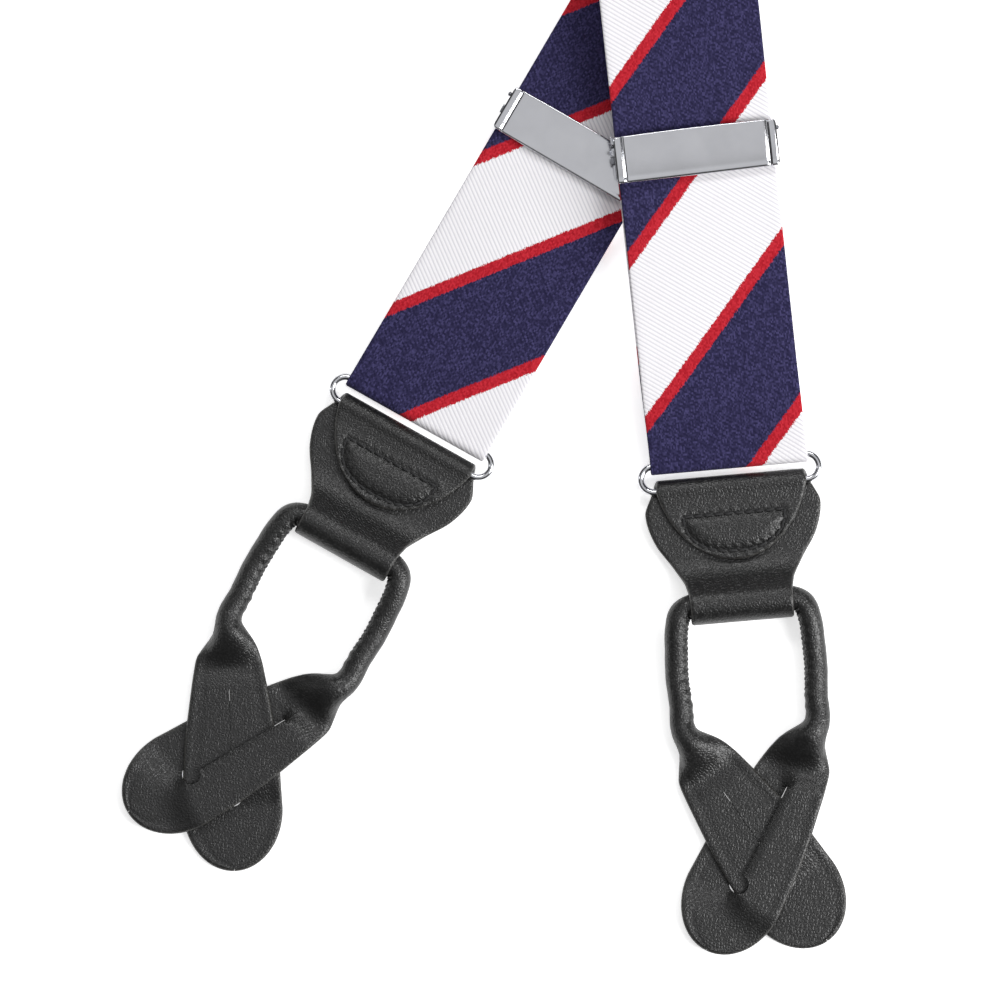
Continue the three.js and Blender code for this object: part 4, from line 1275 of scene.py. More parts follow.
def roll_up(line: LoopLine, along: Array, across: Array, out: Array) -> Array:
    """Carries the flat pattern onto the loop: flat leaves that curl into a tube.

    The curl and the turn of the seam grow with the distance from the ear's tip. Across
    becomes an angle round a tube of radius width / wrap, and out adds to that radius.

    Args:
        line: The loop's middle line.
        along: Distance from the first ear's tip.
        across: Distance across from the pattern's middle line.
        out: Height above the pattern's middle surface.

    Returns:
        Points with the channel's middle as origin.
    """
    from_tip = np.minimum(along, line.length - along)
    point, ahead = line.at(along)
    outward = np.cross(UP, ahead)
    curl = smooth(LOOP.flat_up_to, LOOP.rolled_from, from_tip)
    turn = (np.pi / 2) * smooth(LOOP.flat_up_to + 2, LOOP.seam_turned_from, from_tip)
    normal = UP * np.cos(turn)[..., None] + outward * np.sin(turn)[..., None]
    side = np.cross(ahead, normal)
    wrap = np.maximum(LOOP.wrap_angle * curl, 0.01)
    radius = 2 * LOOP.rolled_half_width / wrap
    angle = across / radius
    flat_z = leaf_height(along > line.length / 2, LOOP.ear_tip - from_tip, across)
    leg_z = mix(ROLL_OUTER + 0.1, CHANNEL_Z, smooth(-17, -1, point[..., 1]))
    height = mix(flat_z, leg_z, curl) + LOOP.unroll_lift * curl * (1 - curl) - CHANNEL_Z
    middle = point * [1, 1, 0] + UP * height[..., None] + normal * (ROLL_RADIUS * curl)[..., None]
    middle = middle + side * ((radius + out) * np.sin(angle))[..., None]
    return middle + normal * ((radius + out) * np.cos(angle) - radius)[..., None]


@dataclass
class RolledLoop(EndWork):
    """One loop of rolled leather with two flat ears, its core and its seam."""

    sway: float
    stitch_pitch: float = 2.5

    def shell(self) -> Shell:
        """An empty shell with the channel's middle as origin."""
        return Shell(self.end.ring.moved(0, TAB.channel_y, CHANNEL_Z))

    def half_width(self, from_tip: Array) -> Array:
        """Half the pattern's width: half an ellipse at the ear's tip, then a long taper."""
        to_widest = np.maximum(LOOP.ear_length - from_tip, 0) / LOOP.ear_length
        ear = LOOP.ear_half_width * np.sqrt(1 - to_widest**2)
        crossing, roll = LOOP.leaf_half_width_at_crossing, LOOP.leaf_half_width_at_roll
        knots = [
            (LOOP.ear_length, LOOP.ear_half_width),
            (LOOP.ear_tip, crossing),
            (LOOP.rolled_from - 19, mix(crossing, roll, 0.55)),
            (LOOP.rolled_from - 8, roll),
            (LOOP.rolled_from, LOOP.rolled_half_width),
        ]
        return np.where(from_tip < LOOP.ear_length, ear, through(knots, from_tip))

    def slot_half_width(self, from_tip: Array) -> Array:
        """Half the keyhole's width: the round hole, then the slit towards the roll."""
        from_hole = from_tip - LOOP.hole_from_tip
        hole = np.sqrt(np.maximum(LOOP.hole_radius**2 - from_hole**2, 0))
        slit = np.where((from_hole > 0) & (from_hole < LOOP.slit_length), LOOP.slit_half_width, 0.0)
        taper = smooth(LOOP.slit_length, LOOP.slit_length - 0.6, from_hole)
        return np.maximum(hole, slit * taper)

    def row_places(self, length: float) -> Array:
        """Distances from the first ear's tip at which rows of points lie."""
        hole = LOOP.hole_from_tip
        tip = LOOP.ear_length * (1 - np.cos(np.r_[0.003, np.linspace(0.03, np.pi / 2, 34)]))
        turns = np.linspace(0, np.pi, 17)
        round_hole = hole - LOOP.hole_radius * np.cos(turns)
        slit_end = hole + LOOP.slit_length
        leaf = np.arange(LOOP.ear_length + 0.5, LOOP.rolled_from + 2, 0.6)
        roll = np.arange(LOOP.rolled_from + 2, length / 2, 0.42)
        ends = [slit_end - 0.6, slit_end - 0.3, slit_end, slit_end + 0.3]
        places = np.unique(np.round(np.concatenate([tip, round_hole, leaf, roll, ends, [length / 2]]), 4))
        gaps = np.diff(places)
        return np.r_[places[0], places[1:][gaps > 0.02]]

    def relief(self, line: LoopLine, along: Array, across: Array, half: Array, out: Array) -> Array:
        """Height added to the leather.

        A burnished bead runs along the leaves' edges, the roll's edges pucker between
        the stitches, and a few soft creases cross it where the leaf flattens.

        Args:
            line: The loop's middle line.
            along: Distance from the first ear's tip.
            across: Distance across from the pattern's middle line.
            half: Half the pattern's width.
            out: Height above the pattern's middle surface.

        Returns:
            The height to add.
        """
        from_tip = np.minimum(along, line.length - along)
        rolled = smooth(LOOP.rolled_from - 4, LOOP.rolled_from + 6, from_tip)
        inside = half - np.abs(across)
        bead = 0.14 * bump(inside, 0.9, 0.7) - 0.1 * bump(inside, 2.4, 0.8)
        pucker = np.cos(2 * np.pi * along / self.stitch_pitch)
        scallop = 0.16 * pucker * smooth(3.2, 0.4, inside)
        fold = from_tip - LOOP.rolled_from + 4.5 + 0.09 * (across - 2) ** 2
        crease = -0.22 * bump(fold, 0, 0.45) - 0.16 * bump(fold, 1.5, 0.4) - 0.1 * bump(fold, -1.6, 0.4)
        crease = crease * smooth(6.5, 3, np.abs(across))
        grip = 0.02 * np.sin(from_tip * 1.3 + 1.7 * np.sin(across * 0.6)) * rolled
        return bead * (1 - rolled) * (out > 0) + (scallop + grip) * rolled + crease

    def leather(self, line: LoopLine) -> Shell:
        """The loop's leather, as two halves side by side that part along the keyholes.

        Each half's section runs over the upper face from the keyhole or the middle line
        to the outline, round the rim, and back along the lower face.

        Args:
            line: The loop's middle line.

        Returns:
            The shell, whose halves still have to be welded.
        """
        shell = self.shell()
        half_places = self.row_places(line.length)
        places = np.r_[half_places, (line.length - half_places[:-1])[::-1]]
        from_tip = np.minimum(places, line.length - places)
        half = self.half_width(from_tip)
        ahead = unit(np.stack([np.gradient(half), np.gradient(places)], axis=-1))
        lean, steep = ahead.T.copy()
        lean[[0, -1]], steep[[0, -1]] = (1, -1), 0
        radius = 0.5 * LOOP.thickness
        columns, steps = 9, 7
        share = np.r_[np.linspace(0, 1, columns + 1), np.ones(steps - 1), np.linspace(1, 0, columns + 1)]
        angle = np.radians(np.linspace(90, -90, steps + 1))[1:-1]
        inset = np.r_[np.ones(columns + 1), 1 - np.cos(angle), np.ones(columns + 1)] * radius
        out = np.r_[np.full(columns + 1, radius), radius * np.sin(angle), np.full(columns + 1, -radius)]
        cut = np.r_[np.zeros(columns + 1), np.ones(steps - 1), np.zeros(columns + 1)]
        forward = inset[None] * lean[:, None]
        along = places[:, None] + forward
        slot = self.slot_half_width(np.minimum(along[:, :1], line.length - along[:, :1]))
        outer = np.maximum(half[:, None] - inset[None] * steep[:, None], 0.02)
        across = slot + (outer - slot) * share[None]
        rows, count = along.shape
        index = np.arange(rows * count).reshape(rows, count)
        open_row = (slot[:-1, 0] > 0) | (slot[1:, 0] > 0)
        for hand in (1, -1):
            signed = hand * across
            height = np.broadcast_to(out[None], along.shape)
            height = height + self.relief(line, along, signed, half[:, None], height)
            points = roll_up(line, along, signed, height)
            quads = np.stack([index[:-1, :-1], index[:-1, 1:], index[1:, 1:], index[1:, :-1]], axis=-1)
            inner = np.stack([index[:-1, -1], index[:-1, 0], index[1:, 0], index[1:, -1]], axis=-1)[open_row]
            faces = [quads.reshape(-1, 4), inner, index[:1, ::-1], index[-1:]]
            if hand < 0:
                faces = [group[:, ::-1] for group in faces]
            lay = np.stack([signed, along], axis=-1)
            self.add_half(shell, points, faces, lay, np.broadcast_to(cut, along.shape))
        return shell

    @staticmethod
    def add_half(shell: Shell, points: Array, faces: list[Array], lay: Array, edge: Array) -> None:
        """Adds one half of the leather, which closes only together with the other half."""
        for group in faces:
            shell.faces.extend((group[:, ::-1] + shell.count).tolist())
        shell.points.append(points.reshape(-1, 3))
        shell.lays.append(lay.reshape(-1, 2))
        shell.edges.append(edge.reshape(-1).astype(float))
        shell.count += points.shape[0] * points.shape[1]

    def seam_stitches(self, line: LoopLine) -> Shell:
        """Whip stitches that close the roll along its inner side, one in each dip."""
        shell = self.shell()
        first = math.ceil((LOOP.rolled_from + 4) / self.stitch_pitch) + 0.5
        last = (line.length - LOOP.rolled_from - 4) / self.stitch_pitch
        along = np.arange(first, last) * self.stitch_pitch
        edge = LOOP.rolled_half_width - 0.5
        lean = 0.35
        one = roll_up(line, along - lean, np.full(len(along), edge), np.full(len(along), 0.42))
        other = roll_up(line, along + lean, np.full(len(along), -edge), np.full(len(along), 0.42))
        centre = roll_up(line, along, np.zeros(len(along)), np.full(len(along), -ROLL_RADIUS))
        middle = (one + other) / 2
        reach = np.linalg.norm(other - one, axis=1)
        normal = unit(middle - centre)
        for k in range(len(along)):
            ahead = unit(other[k : k + 1] - one[k : k + 1])
            add_stitches(shell, middle[k : k + 1], ahead, normal[k : k + 1], float(reach[k]) + 1.0, 0.24)
        return shell

    def build(self) -> None:
        """Makes the loop's leather, core and seam."""
        line = LoopLine(self.sway)
        finishes, body = self.finishes, "loop"
        halves, leather = self.leather(line), finishes.leather
        self.finish(halves, "leather_loop", leather, Slot.LEATHER, "loop_leather", body, sharp=60, weld=True)
        along = np.linspace(LOOP.rolled_from + 3, line.length - LOOP.rolled_from - 3, 150)
        core = roll_up(line, along, np.zeros(150), np.full(150, -ROLL_RADIUS))
        cord = self.shell()
        twist = 1 + 0.05 * np.sin(along * 2.2)
        cord.add_tube(tube_grid(core, LOOP.core_radius * twist, 12))
        self.finish(cord, "loop_core", finishes.cord, Slot.CORD, "loop_core_cord", body)
        seam = self.seam_stitches(line)
        self.finish(seam, "loop_seam", finishes.thread, Slot.THREAD, "loop_seam_thread", body)


# ---------------- straps
@dataclass(frozen=True)
class StrapLay:
    """How one front strap lies, in its end's axes: its reach to the crossing and its bends.

    side is -1 for the left end and 1 for the right, sway turns the ring, roll tips the
    strap about its own line, and bends are (from, to, slope) changes of slope.
    """

    side: int
    reach: float
    heading: float
    chord: float
    sway: float
    roll: float
    bends: tuple[tuple[float, float, float], ...]

    @property
    def arc_radius(self) -> float:
        """The radius of the arc from the crossing to the patch."""
        return self.chord / (2 * math.sin(self.heading))

    @property
    def total(self) -> float:
        """The distance from the ring to the patch's middle."""
        return self.reach + 2 * self.heading * self.arc_radius

    def spine(self, distance: Array) -> Array:
        """The middle line: straight to the crossing, then one even arc, with its bends."""
        beyond = np.maximum(distance - self.reach, 0)
        angle = np.minimum(beyond / self.arc_radius, 2 * self.heading)
        rest = np.maximum(beyond - 2 * self.heading * self.arc_radius, 0)
        x = self.side * (self.arc_radius * (1 - np.cos(angle)) + rest * np.sin(angle))
        y = np.minimum(distance, self.reach) + self.arc_radius * np.sin(angle) + rest * np.cos(angle)
        z = RUN_Z + sum(slope * ramp(distance, start, end) for start, end, slope in self.bends)
        return np.stack([x, y, z], axis=-1)

    def station(self, distance: Array) -> tuple[Array, Array, Array, Array]:
        """Point, direction, side and upper normal at distances from the ring."""
        along = unit(self.spine(distance + 0.05) - self.spine(distance - 0.05))
        swaying = self.sway * (1 - smooth(BAR_Y, 25, distance))
        level = unit(np.stack([along[..., 1], -along[..., 0], 0 * along[..., 0]], axis=-1))
        level = turned(level, UP, swaying)
        roll = self.roll * smooth(BAR_Y, 30, distance) * (1 - smooth(115, 200, distance))
        side = turned(level, along, roll)
        point = self.spine(distance)
        shift = math.sin(self.sway) * BAR_Y * (1 - smooth(BAR_Y, 25, distance))
        point = point - np.stack([shift, 0 * shift, 0 * shift], axis=-1)
        return point, along, side, np.cross(side, along)


@dataclass
class AdjusterSizes:
    """Sizes of the sliding adjuster, in its own axes with z = 0 in the strap's middle."""

    place: float = 77.5
    length: float = 11.3
    wall: float = 0.5
    plate: float = 0.65
    crown: float = 0.3
    lip_width: float = 2.0
    lip_rise: float = 0.35
    pin_radius: float = 0.4
    pin_overhang: float = 0.8
    pin_from_upper_edge: float = 2.5
    bar_thickness: float = 0.5
    bar_width: float = 2.2
    tail_bar_y: float = -0.6
    hem_length: float = 14.0

    def __post_init__(self) -> None:
        """Works out what follows from the sizes."""
        self.tail_upper_z = -(RIBBON.thickness + CLEARANCE)
        self.tail_lower_z = self.tail_upper_z - RIBBON.thickness - 2 * CLEARANCE - self.bar_thickness
        self.bar_z = (self.tail_upper_z + self.tail_lower_z) / 2
        self.pin_y = self.length / 2 - self.pin_from_upper_edge
        self.pin_hole = self.pin_radius + 0.2
        self.pin_z = RIBBON.thickness / 2 + 0.5 + self.pin_hole
        self.wall_inner = RIBBON.width / 2 + 0.2
        self.wall_outer = self.wall_inner + self.wall
        self.pin_half = self.wall_outer + self.pin_overhang
        self.plate_z = self.pin_z + self.pin_hole - 0.2
        self.tail_fold_y = self.tail_bar_y + self.bar_width / 2 + 0.4


@dataclass
class FrontStrap:
    """One ribbon strap from its ring to the patch, with its folded-back tail."""

    end: EndFrames
    lay: StrapLay
    outfitter: Outfitter
    ribbon: Material
    patch_middle: float
    adjuster: AdjusterSizes = field(default_factory=AdjusterSizes)

    def folded_stations(self) -> Stations:
        """The stub behind the ring's upper bar and the fold over it, swayed with the ring."""
        stub_y = np.linspace(BAR_Y + 1.4, BAR_Y + 0.1, 4)
        stub = np.column_stack([stub_y, np.full(4, RING_Z - STRAP_FOLD_RADIUS)])
        fold = arc((BAR_Y, RING_Z), STRAP_FOLD_RADIUS, -90, -270, 18)
        path = np.vstack([stub, fold])
        half = np.full(len(path), RIBBON.width / 2)
        made = Stations.folded(path, half)
        made.run = made.run - made.run[-1] + BAR_Y
        for name in ("point", "side", "normal"):
            setattr(made, name, turned(getattr(made, name), UP, self.lay.sway))
        return made

    def run_stations(self) -> Stations:
        """The strap from the fold to the patch, its inner edge cut where the straps meet."""
        settled, narrowing, end = 32, self.lay.reach + 70, self.lay.total + 11
        distance = np.r_[
            np.linspace(BAR_Y + 1, settled, 24),
            np.linspace(settled, narrowing, 90)[1:],
            np.linspace(narrowing, end, 170)[1:],
        ]
        point, along, side, normal = self.lay.station(distance)
        half = RIBBON.width / 2
        placed = self.end.strap.place(point)
        across_x = side @ self.end.strap.rows[:, 0]
        keep = -self.lay.side
        room = (self.patch_middle + keep * CLEARANCE / 2 - placed[:, 0]) / across_x
        patch_y = self.end.strap.place(self.lay.spine(np.array([self.lay.total])))[0, 1]
        near = placed[:, 1] > patch_y - 90
        low = np.full(len(distance), -half)
        high = np.full(len(distance), half)
        if keep < 0:
            high = np.where(near, np.clip(room, -half + 2.2, half), high)
        else:
            low = np.where(near, np.clip(room, -half, half - 2.2), low)
        return Stations(point, side, normal, low, high, distance)

    def softness(self, across: Array, along: Array, out: Array) -> Array:
        """The ribbon's slight waves: long shallow swells and drawn edges, under 0.2 mm."""
        swell = 0.06 * np.sin(along / 17 + across / 9) + 0.04 * np.sin(along / 7.3 - across / 6)
        drawn = 0.05 * np.sin(along / 4.1) * smooth(14, 19, np.abs(across))
        clamped = 1 - bump(along, self.adjuster.place, 16)
        return (swell + drawn) * smooth(8, 30, along) * clamped

    def build_strap(self) -> None:
        """Makes the strap's run with its fold."""
        fold, run = self.folded_stations(), self.run_stations()
        columns = Stations.__annotations__
        joined = Stations(*[np.concatenate([getattr(fold, k), getattr(run, k)]) for k in columns])
        shell = Shell(self.end.strap)
        shell.add_tube(*joined.swept(Section.of(RIBBON.thickness, 30, 0.9), self.softness))
        name = f"{self.end.name}_strap"
        made = shell.build(f"{name}_ribbon")
        self.outfitter.dress(made, self.ribbon, Slot.RIBBON, name, "straps")

    def build_tail(self) -> None:
        """Makes the tail: behind the strap up to the adjuster's bar, round it and back."""
        sizes = self.adjuster
        start = BAR_Y + 1.4 + CLEARANCE
        fold_at = sizes.place + sizes.tail_fold_y
        distance = np.linspace(start, fold_at, 70)
        point, _, side, normal = self.lay.station(distance)
        depth = mix(-2 * STRAP_FOLD_RADIUS, sizes.tail_lower_z, smooth(start, 30, distance))
        point = point + normal * depth[:, None]
        base_point, base_along, base_side, base_normal = self.lay.station(np.array([fold_at]))
        angle = np.radians(np.linspace(-90, 90, 15))[1:, None]
        outward = base_along * np.cos(angle) + base_normal * np.sin(angle)
        radius = (sizes.tail_upper_z - sizes.tail_lower_z) / 2
        fold_point = base_point + base_normal * sizes.bar_z + outward * radius
        back = np.linspace(fold_at - 1.2, fold_at - sizes.hem_length, 16)
        back_point, _, back_side, back_normal = self.lay.station(back)
        back_point = back_point + back_normal * sizes.tail_upper_z
        points = np.vstack([point, fold_point, back_point])
        half = np.full(len(points), RIBBON.width / 2 - 0.1)
        stations = Stations(
            points,
            np.vstack([side, np.repeat(base_side, 14, axis=0), back_side]),
            np.vstack([normal, -outward, -back_normal]),
            -half,
            half,
            -lengths(points),
        )
        shell = Shell(self.end.strap)
        shell.add_tube(*stations.swept(Section.of(RIBBON.thickness, 20, 0.9)))
        name = f"{self.end.name}_strap_tail"
        made = shell.build(f"{name}_ribbon")
        self.outfitter.dress(made, self.ribbon, Slot.RIBBON, name, None)
        held, _, _, _ = self.lay.station(np.array([start + 1, fold_at - sizes.hem_length + 2]))
        from_point, to_point = self.end.strap.place(held) * MM
        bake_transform(made)


# ---------------- adjusters
@dataclass
class Adjuster(EndWork):
    """One sliding adjuster: walls, cover lever, pin, tail bar and the hem's stitches."""

    sizes: AdjusterSizes = field(default_factory=AdjusterSizes)
    corner: float = 0.75

    def axes(self) -> Axes:
        """The adjuster's axes, from its slide's direction and its lever's hinge."""
        joints = {joint["name"]: joint for joint in frame["joints"]}
        slide = unit(np.array(joints[f"{self.end.name}_adjuster_slide"]["axis"]))
        hinge = joints[f"{self.end.name}_lever_hinge"]
        side = -unit(np.array(hinge["axis"]))
        side = side if side @ self.end.strap.rows[0] > 0 else -side
        rows = np.array([side, slide, np.cross(side, slide)])
        pin = np.array(hinge["pos_m"]) / MM
        return Axes(pin - self.sizes.pin_y * rows[1] - self.sizes.pin_z * rows[2], rows)

    def lever_grid(self) -> Array:
        """The cover plate: a crowned section in y and z carried along x.

        Its height is crown (1 - (y / half)^2) plus a lip's rise at both ends and a bead
        along the lower edge, and its corners are rounded in plan.

        Returns:
            The grid of points.
        """
        s = self.sizes
        wide, half, thick = s.wall_outer, s.length / 2, s.plate
        x = wide * np.sin(np.linspace(-np.pi / 2, np.pi / 2, 61))
        fine = np.linspace(wide - s.lip_width - 0.5, wide - s.lip_width + 0.7, 9)
        x = np.unique(np.r_[x, fine, -fine])
        past = np.maximum(np.abs(x) - wide + self.corner, 0) / self.corner
        corner = np.sqrt(np.clip(1 - past**2, 0, 1))
        upper = half - self.corner * (1 - corner) - 0.25 * (x / wide) ** 2
        lower = half + 0.2 - self.corner * (1 - corner)
        edge_radius = 0.3
        section = Section.of(2.0, 26, steps=8)
        lift = 0.5 + 0.5 * section.out
        middle, spread = (upper - lower) / 2, (upper + lower) / 2
        y = middle[:, None] + section.share * (spread[:, None] - edge_radius * section.inset)
        inner = wide - s.lip_width
        lip = s.lip_rise * smooth(inner - 0.1, inner + 0.35, np.abs(x))
        lip = lip - 0.16 * bump(np.abs(x), inner - 0.25, 0.22)
        lip = lip * smooth(wide + 0.35, wide - 0.45, np.abs(x)) * 1.15
        bottom = s.plate_z + s.crown * (1 - (y / half) ** 2)
        bead = 0.16 * bump(y, -half + 0.35, 0.5)
        height = bottom + (thick + lip[:, None] + bead) * lift
        return np.stack([np.broadcast_to(x[:, None], y.shape), y, height], axis=-1)

    @staticmethod
    def prism(outline: Array, x0: float, x1: float, bevel: float = 0.08) -> Array:
        """An outline in y and z carried along x, drawn in a little at both ends."""
        centre = outline.mean(axis=0)
        reach = np.linalg.norm(outline - centre, axis=1).mean()
        shares = np.array([1 - bevel / reach, 1, 1, 1 - bevel / reach])
        places = np.array([x0, x0 + bevel, x1 - bevel, x1])
        flat = centre + shares[:, None, None] * (outline - centre)[None]
        return np.concatenate([np.broadcast_to(places[:, None, None], (4, len(outline), 1)), flat], axis=-1)

    def build_lever(self, axes: Axes) -> None:
        """Makes the cover lever with its cheeks and pressing row."""
        s = self.sizes
        shell = Shell(axes)
        shell.add_tube(self.lever_grid())
        top = s.plate_z + 0.4
        foot = RIBBON.thickness / 2 + 0.25
        cheek = np.array([
            [s.pin_y - 1.3, top], [s.pin_y - 1.0, s.pin_z], [s.pin_y - 0.7, foot],
            [s.pin_y + 0.7, foot], [s.pin_y + 1.0, s.pin_z], [s.pin_y + 1.3, top],
        ])
        outer = s.wall_inner - CLEARANCE
        for x0, x1 in ((outer - 0.8, outer), (-outer, 0.8 - outer)):
            shell.add_tube(self.prism(cheek, x0, x1))
        press_y = s.pin_y - 1.6
        below, above = press_y - 0.3, press_y + 0.3
        row = np.array([[below, top], [below, foot], [above, foot], [above, top]])
        shell.add_tube(self.prism(row, -outer, outer))
        plate = self.finishes.plate
        self.finish(shell, "cover_lever", plate, Slot.PLATE, "adjuster_lever", "lever", sharp=38)

    def build_pin(self, axes: Axes) -> None:
        """Makes the hinge pin with a small head at each end."""
        s = self.sizes
        x = s.pin_half * np.sin(np.linspace(-np.pi / 2, np.pi / 2, 50))
        to_end = s.pin_half - np.abs(x)
        head = s.pin_radius * (1 + 0.45 * smooth(0.75, 0.55, to_end)) * np.sqrt(smooth(-0.06, 0.3, to_end))
        line = np.stack([x, np.full(50, s.pin_y), np.full(50, s.pin_z)], axis=1)
        shell = Shell(axes)
        shell.add_tube(tube_grid(line, np.maximum(head, 0.05), 14))
        pins = self.finishes.pins
        self.finish(shell, "hinge_pin", pins, Slot.PINS, "adjuster_hinge_pin", "adjuster")

    def build_tail_bar(self, axes: Axes) -> None:
        """Makes the flat bar that the tail folds round."""
        s = self.sizes
        half = s.bar_thickness / 2
        angle = np.linspace(0, 2 * np.pi, 25)[:-1]
        stretch = s.bar_width / 2 - half
        y = s.tail_bar_y + half * np.cos(angle) + stretch * np.clip(3 * np.cos(angle), -1, 1)
        outline = np.stack([y, s.bar_z + half * np.sin(angle)], axis=1)
        reach = s.pin_half - 0.3
        shell = Shell(axes)
        shell.add_tube(self.prism(outline, -reach, reach))
        pins = self.finishes.pins
        self.finish(shell, "tail_bar", pins, Slot.PINS, "adjuster_tail_bar", "adjuster")

    def build_hem_stitches(self, axes: Axes) -> None:
        """Makes the box of stitches under the tail's hem."""
        s = self.sizes
        z = s.tail_lower_z - RIBBON.thickness / 2 + 0.14
        half = RIBBON.width / 2 - 2.5
        start, end = s.tail_fold_y - s.hem_length + 2, s.tail_fold_y - 5
        corners = np.array([[-half, start, z], [half, start, z], [half, end, z], [-half, end, z]])
        places, along = resampled(corners, 2.1, closed=True)
        shell = Shell(axes)
        add_stitches(shell, places, along, -UP, 1.8, 0.17)
        thread = self.finishes.thread
        self.finish(shell, "tail_stitches", thread, Slot.THREAD, "tail_stitch_thread", "adjuster")

    def build(self) -> None:
        """Makes every piece of the adjuster; its walls keep the part's own shape."""
        axes = self.axes()
        self.build_lever(axes)
        self.build_pin(axes)
        self.build_tail_bar(axes)
        self.build_hem_stitches(axes)
        walls = frame["nodes"][f"{self.end.name}_adjuster_frame"]
        walls.data.materials.clear()
        walls.data.materials.append(self.finishes.plate)


# ---------------- back end and patch
@dataclass
class BackStrap:
    """The elastic strap with its hem round the back ring."""

    end: EndFrames
    outfitter: Outfitter
    patch_reach: float
    width: float = 35.0
    thickness: float = 1.2
    hem_length: float = 19.0
    hem_upper_z: float = 3.8
    inside_z: float = 2.4

    @property
    def hem_end(self) -> float:
        """Where the hem's two layers end."""
        return BAR_Y + self.hem_length

    def hem_path(self) -> Array:
        """The hem from its lower layer round the ring's upper bar to its upper layer."""
        radius = RING.wire_radius + CLEARANCE + self.thickness / 2
        lower_z = self.hem_upper_z - self.thickness - CLEARANCE
        end = self.hem_end
        y = np.linspace(end, BAR_Y + 0.4, 34)
        lower = np.column_stack([y, mix(RING_Z - radius, lower_z, smooth(BAR_Y + 0.4, 11, y))])
        fold = arc((BAR_Y, RING_Z), radius, 270, 90, 18)
        upper_z = mix(RING_Z + radius, self.hem_upper_z, smooth(BAR_Y + 0.4, 11, y))
        upper = np.column_stack([y, upper_z])[::-1]
        return np.vstack([lower, fold, upper])

    def build(self) -> None:
        """Makes the elastic, its hem and the hem's stitches."""
        finishes, half = self.outfitter.finishes, self.width / 2
        section = Section.of(self.thickness, 36, 0.9)
        path = self.hem_path()
        hem = Shell(self.end.strap)
        hem.add_tube(*Stations.folded(path, np.full(len(path), half)).swept(section))
        made = hem.build("back_hem_elastic")
        self.outfitter.dress(made, finishes.elastic, Slot.ELASTIC, "back_elastic_hem", "back_hem")
        start = self.hem_end + CLEARANCE
        y = np.linspace(start, self.patch_reach, 90)
        z = mix(self.hem_upper_z, self.inside_z, smooth(start + 8, self.patch_reach - 26, y))
        strap = Shell(self.end.strap)
        swell = Stations.folded(np.column_stack([y, z]), np.full(len(y), half), start)
        strap.add_tube(*swell.swept(section))
        made = strap.build("back_elastic_strap")
        self.outfitter.dress(made, finishes.elastic, Slot.ELASTIC, "back_elastic", None)
        ends = self.end.strap.place(np.array([[0, self.patch_reach - 52, 0], [0, start, 0]])) * MM
        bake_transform(made)
        corner = half - 2.5
        z_top = self.hem_upper_z + self.thickness / 2 - 0.02
        box = np.array([[-corner, self.hem_end - 7], [corner, self.hem_end - 7],
                        [corner, self.hem_end - 2], [-corner, self.hem_end - 2]])
        line = np.column_stack([box, np.full(4, z_top)])
        places, along = resampled(line, 2.2, closed=True)
        threads = Shell(self.end.strap)
        add_stitches(threads, places, along, UP, 1.9, 0.25)
        made = threads.build("back_hem_stitches")
        self.outfitter.dress(made, finishes.thread, Slot.THREAD, "back_hem_stitch_thread", "back_hem")


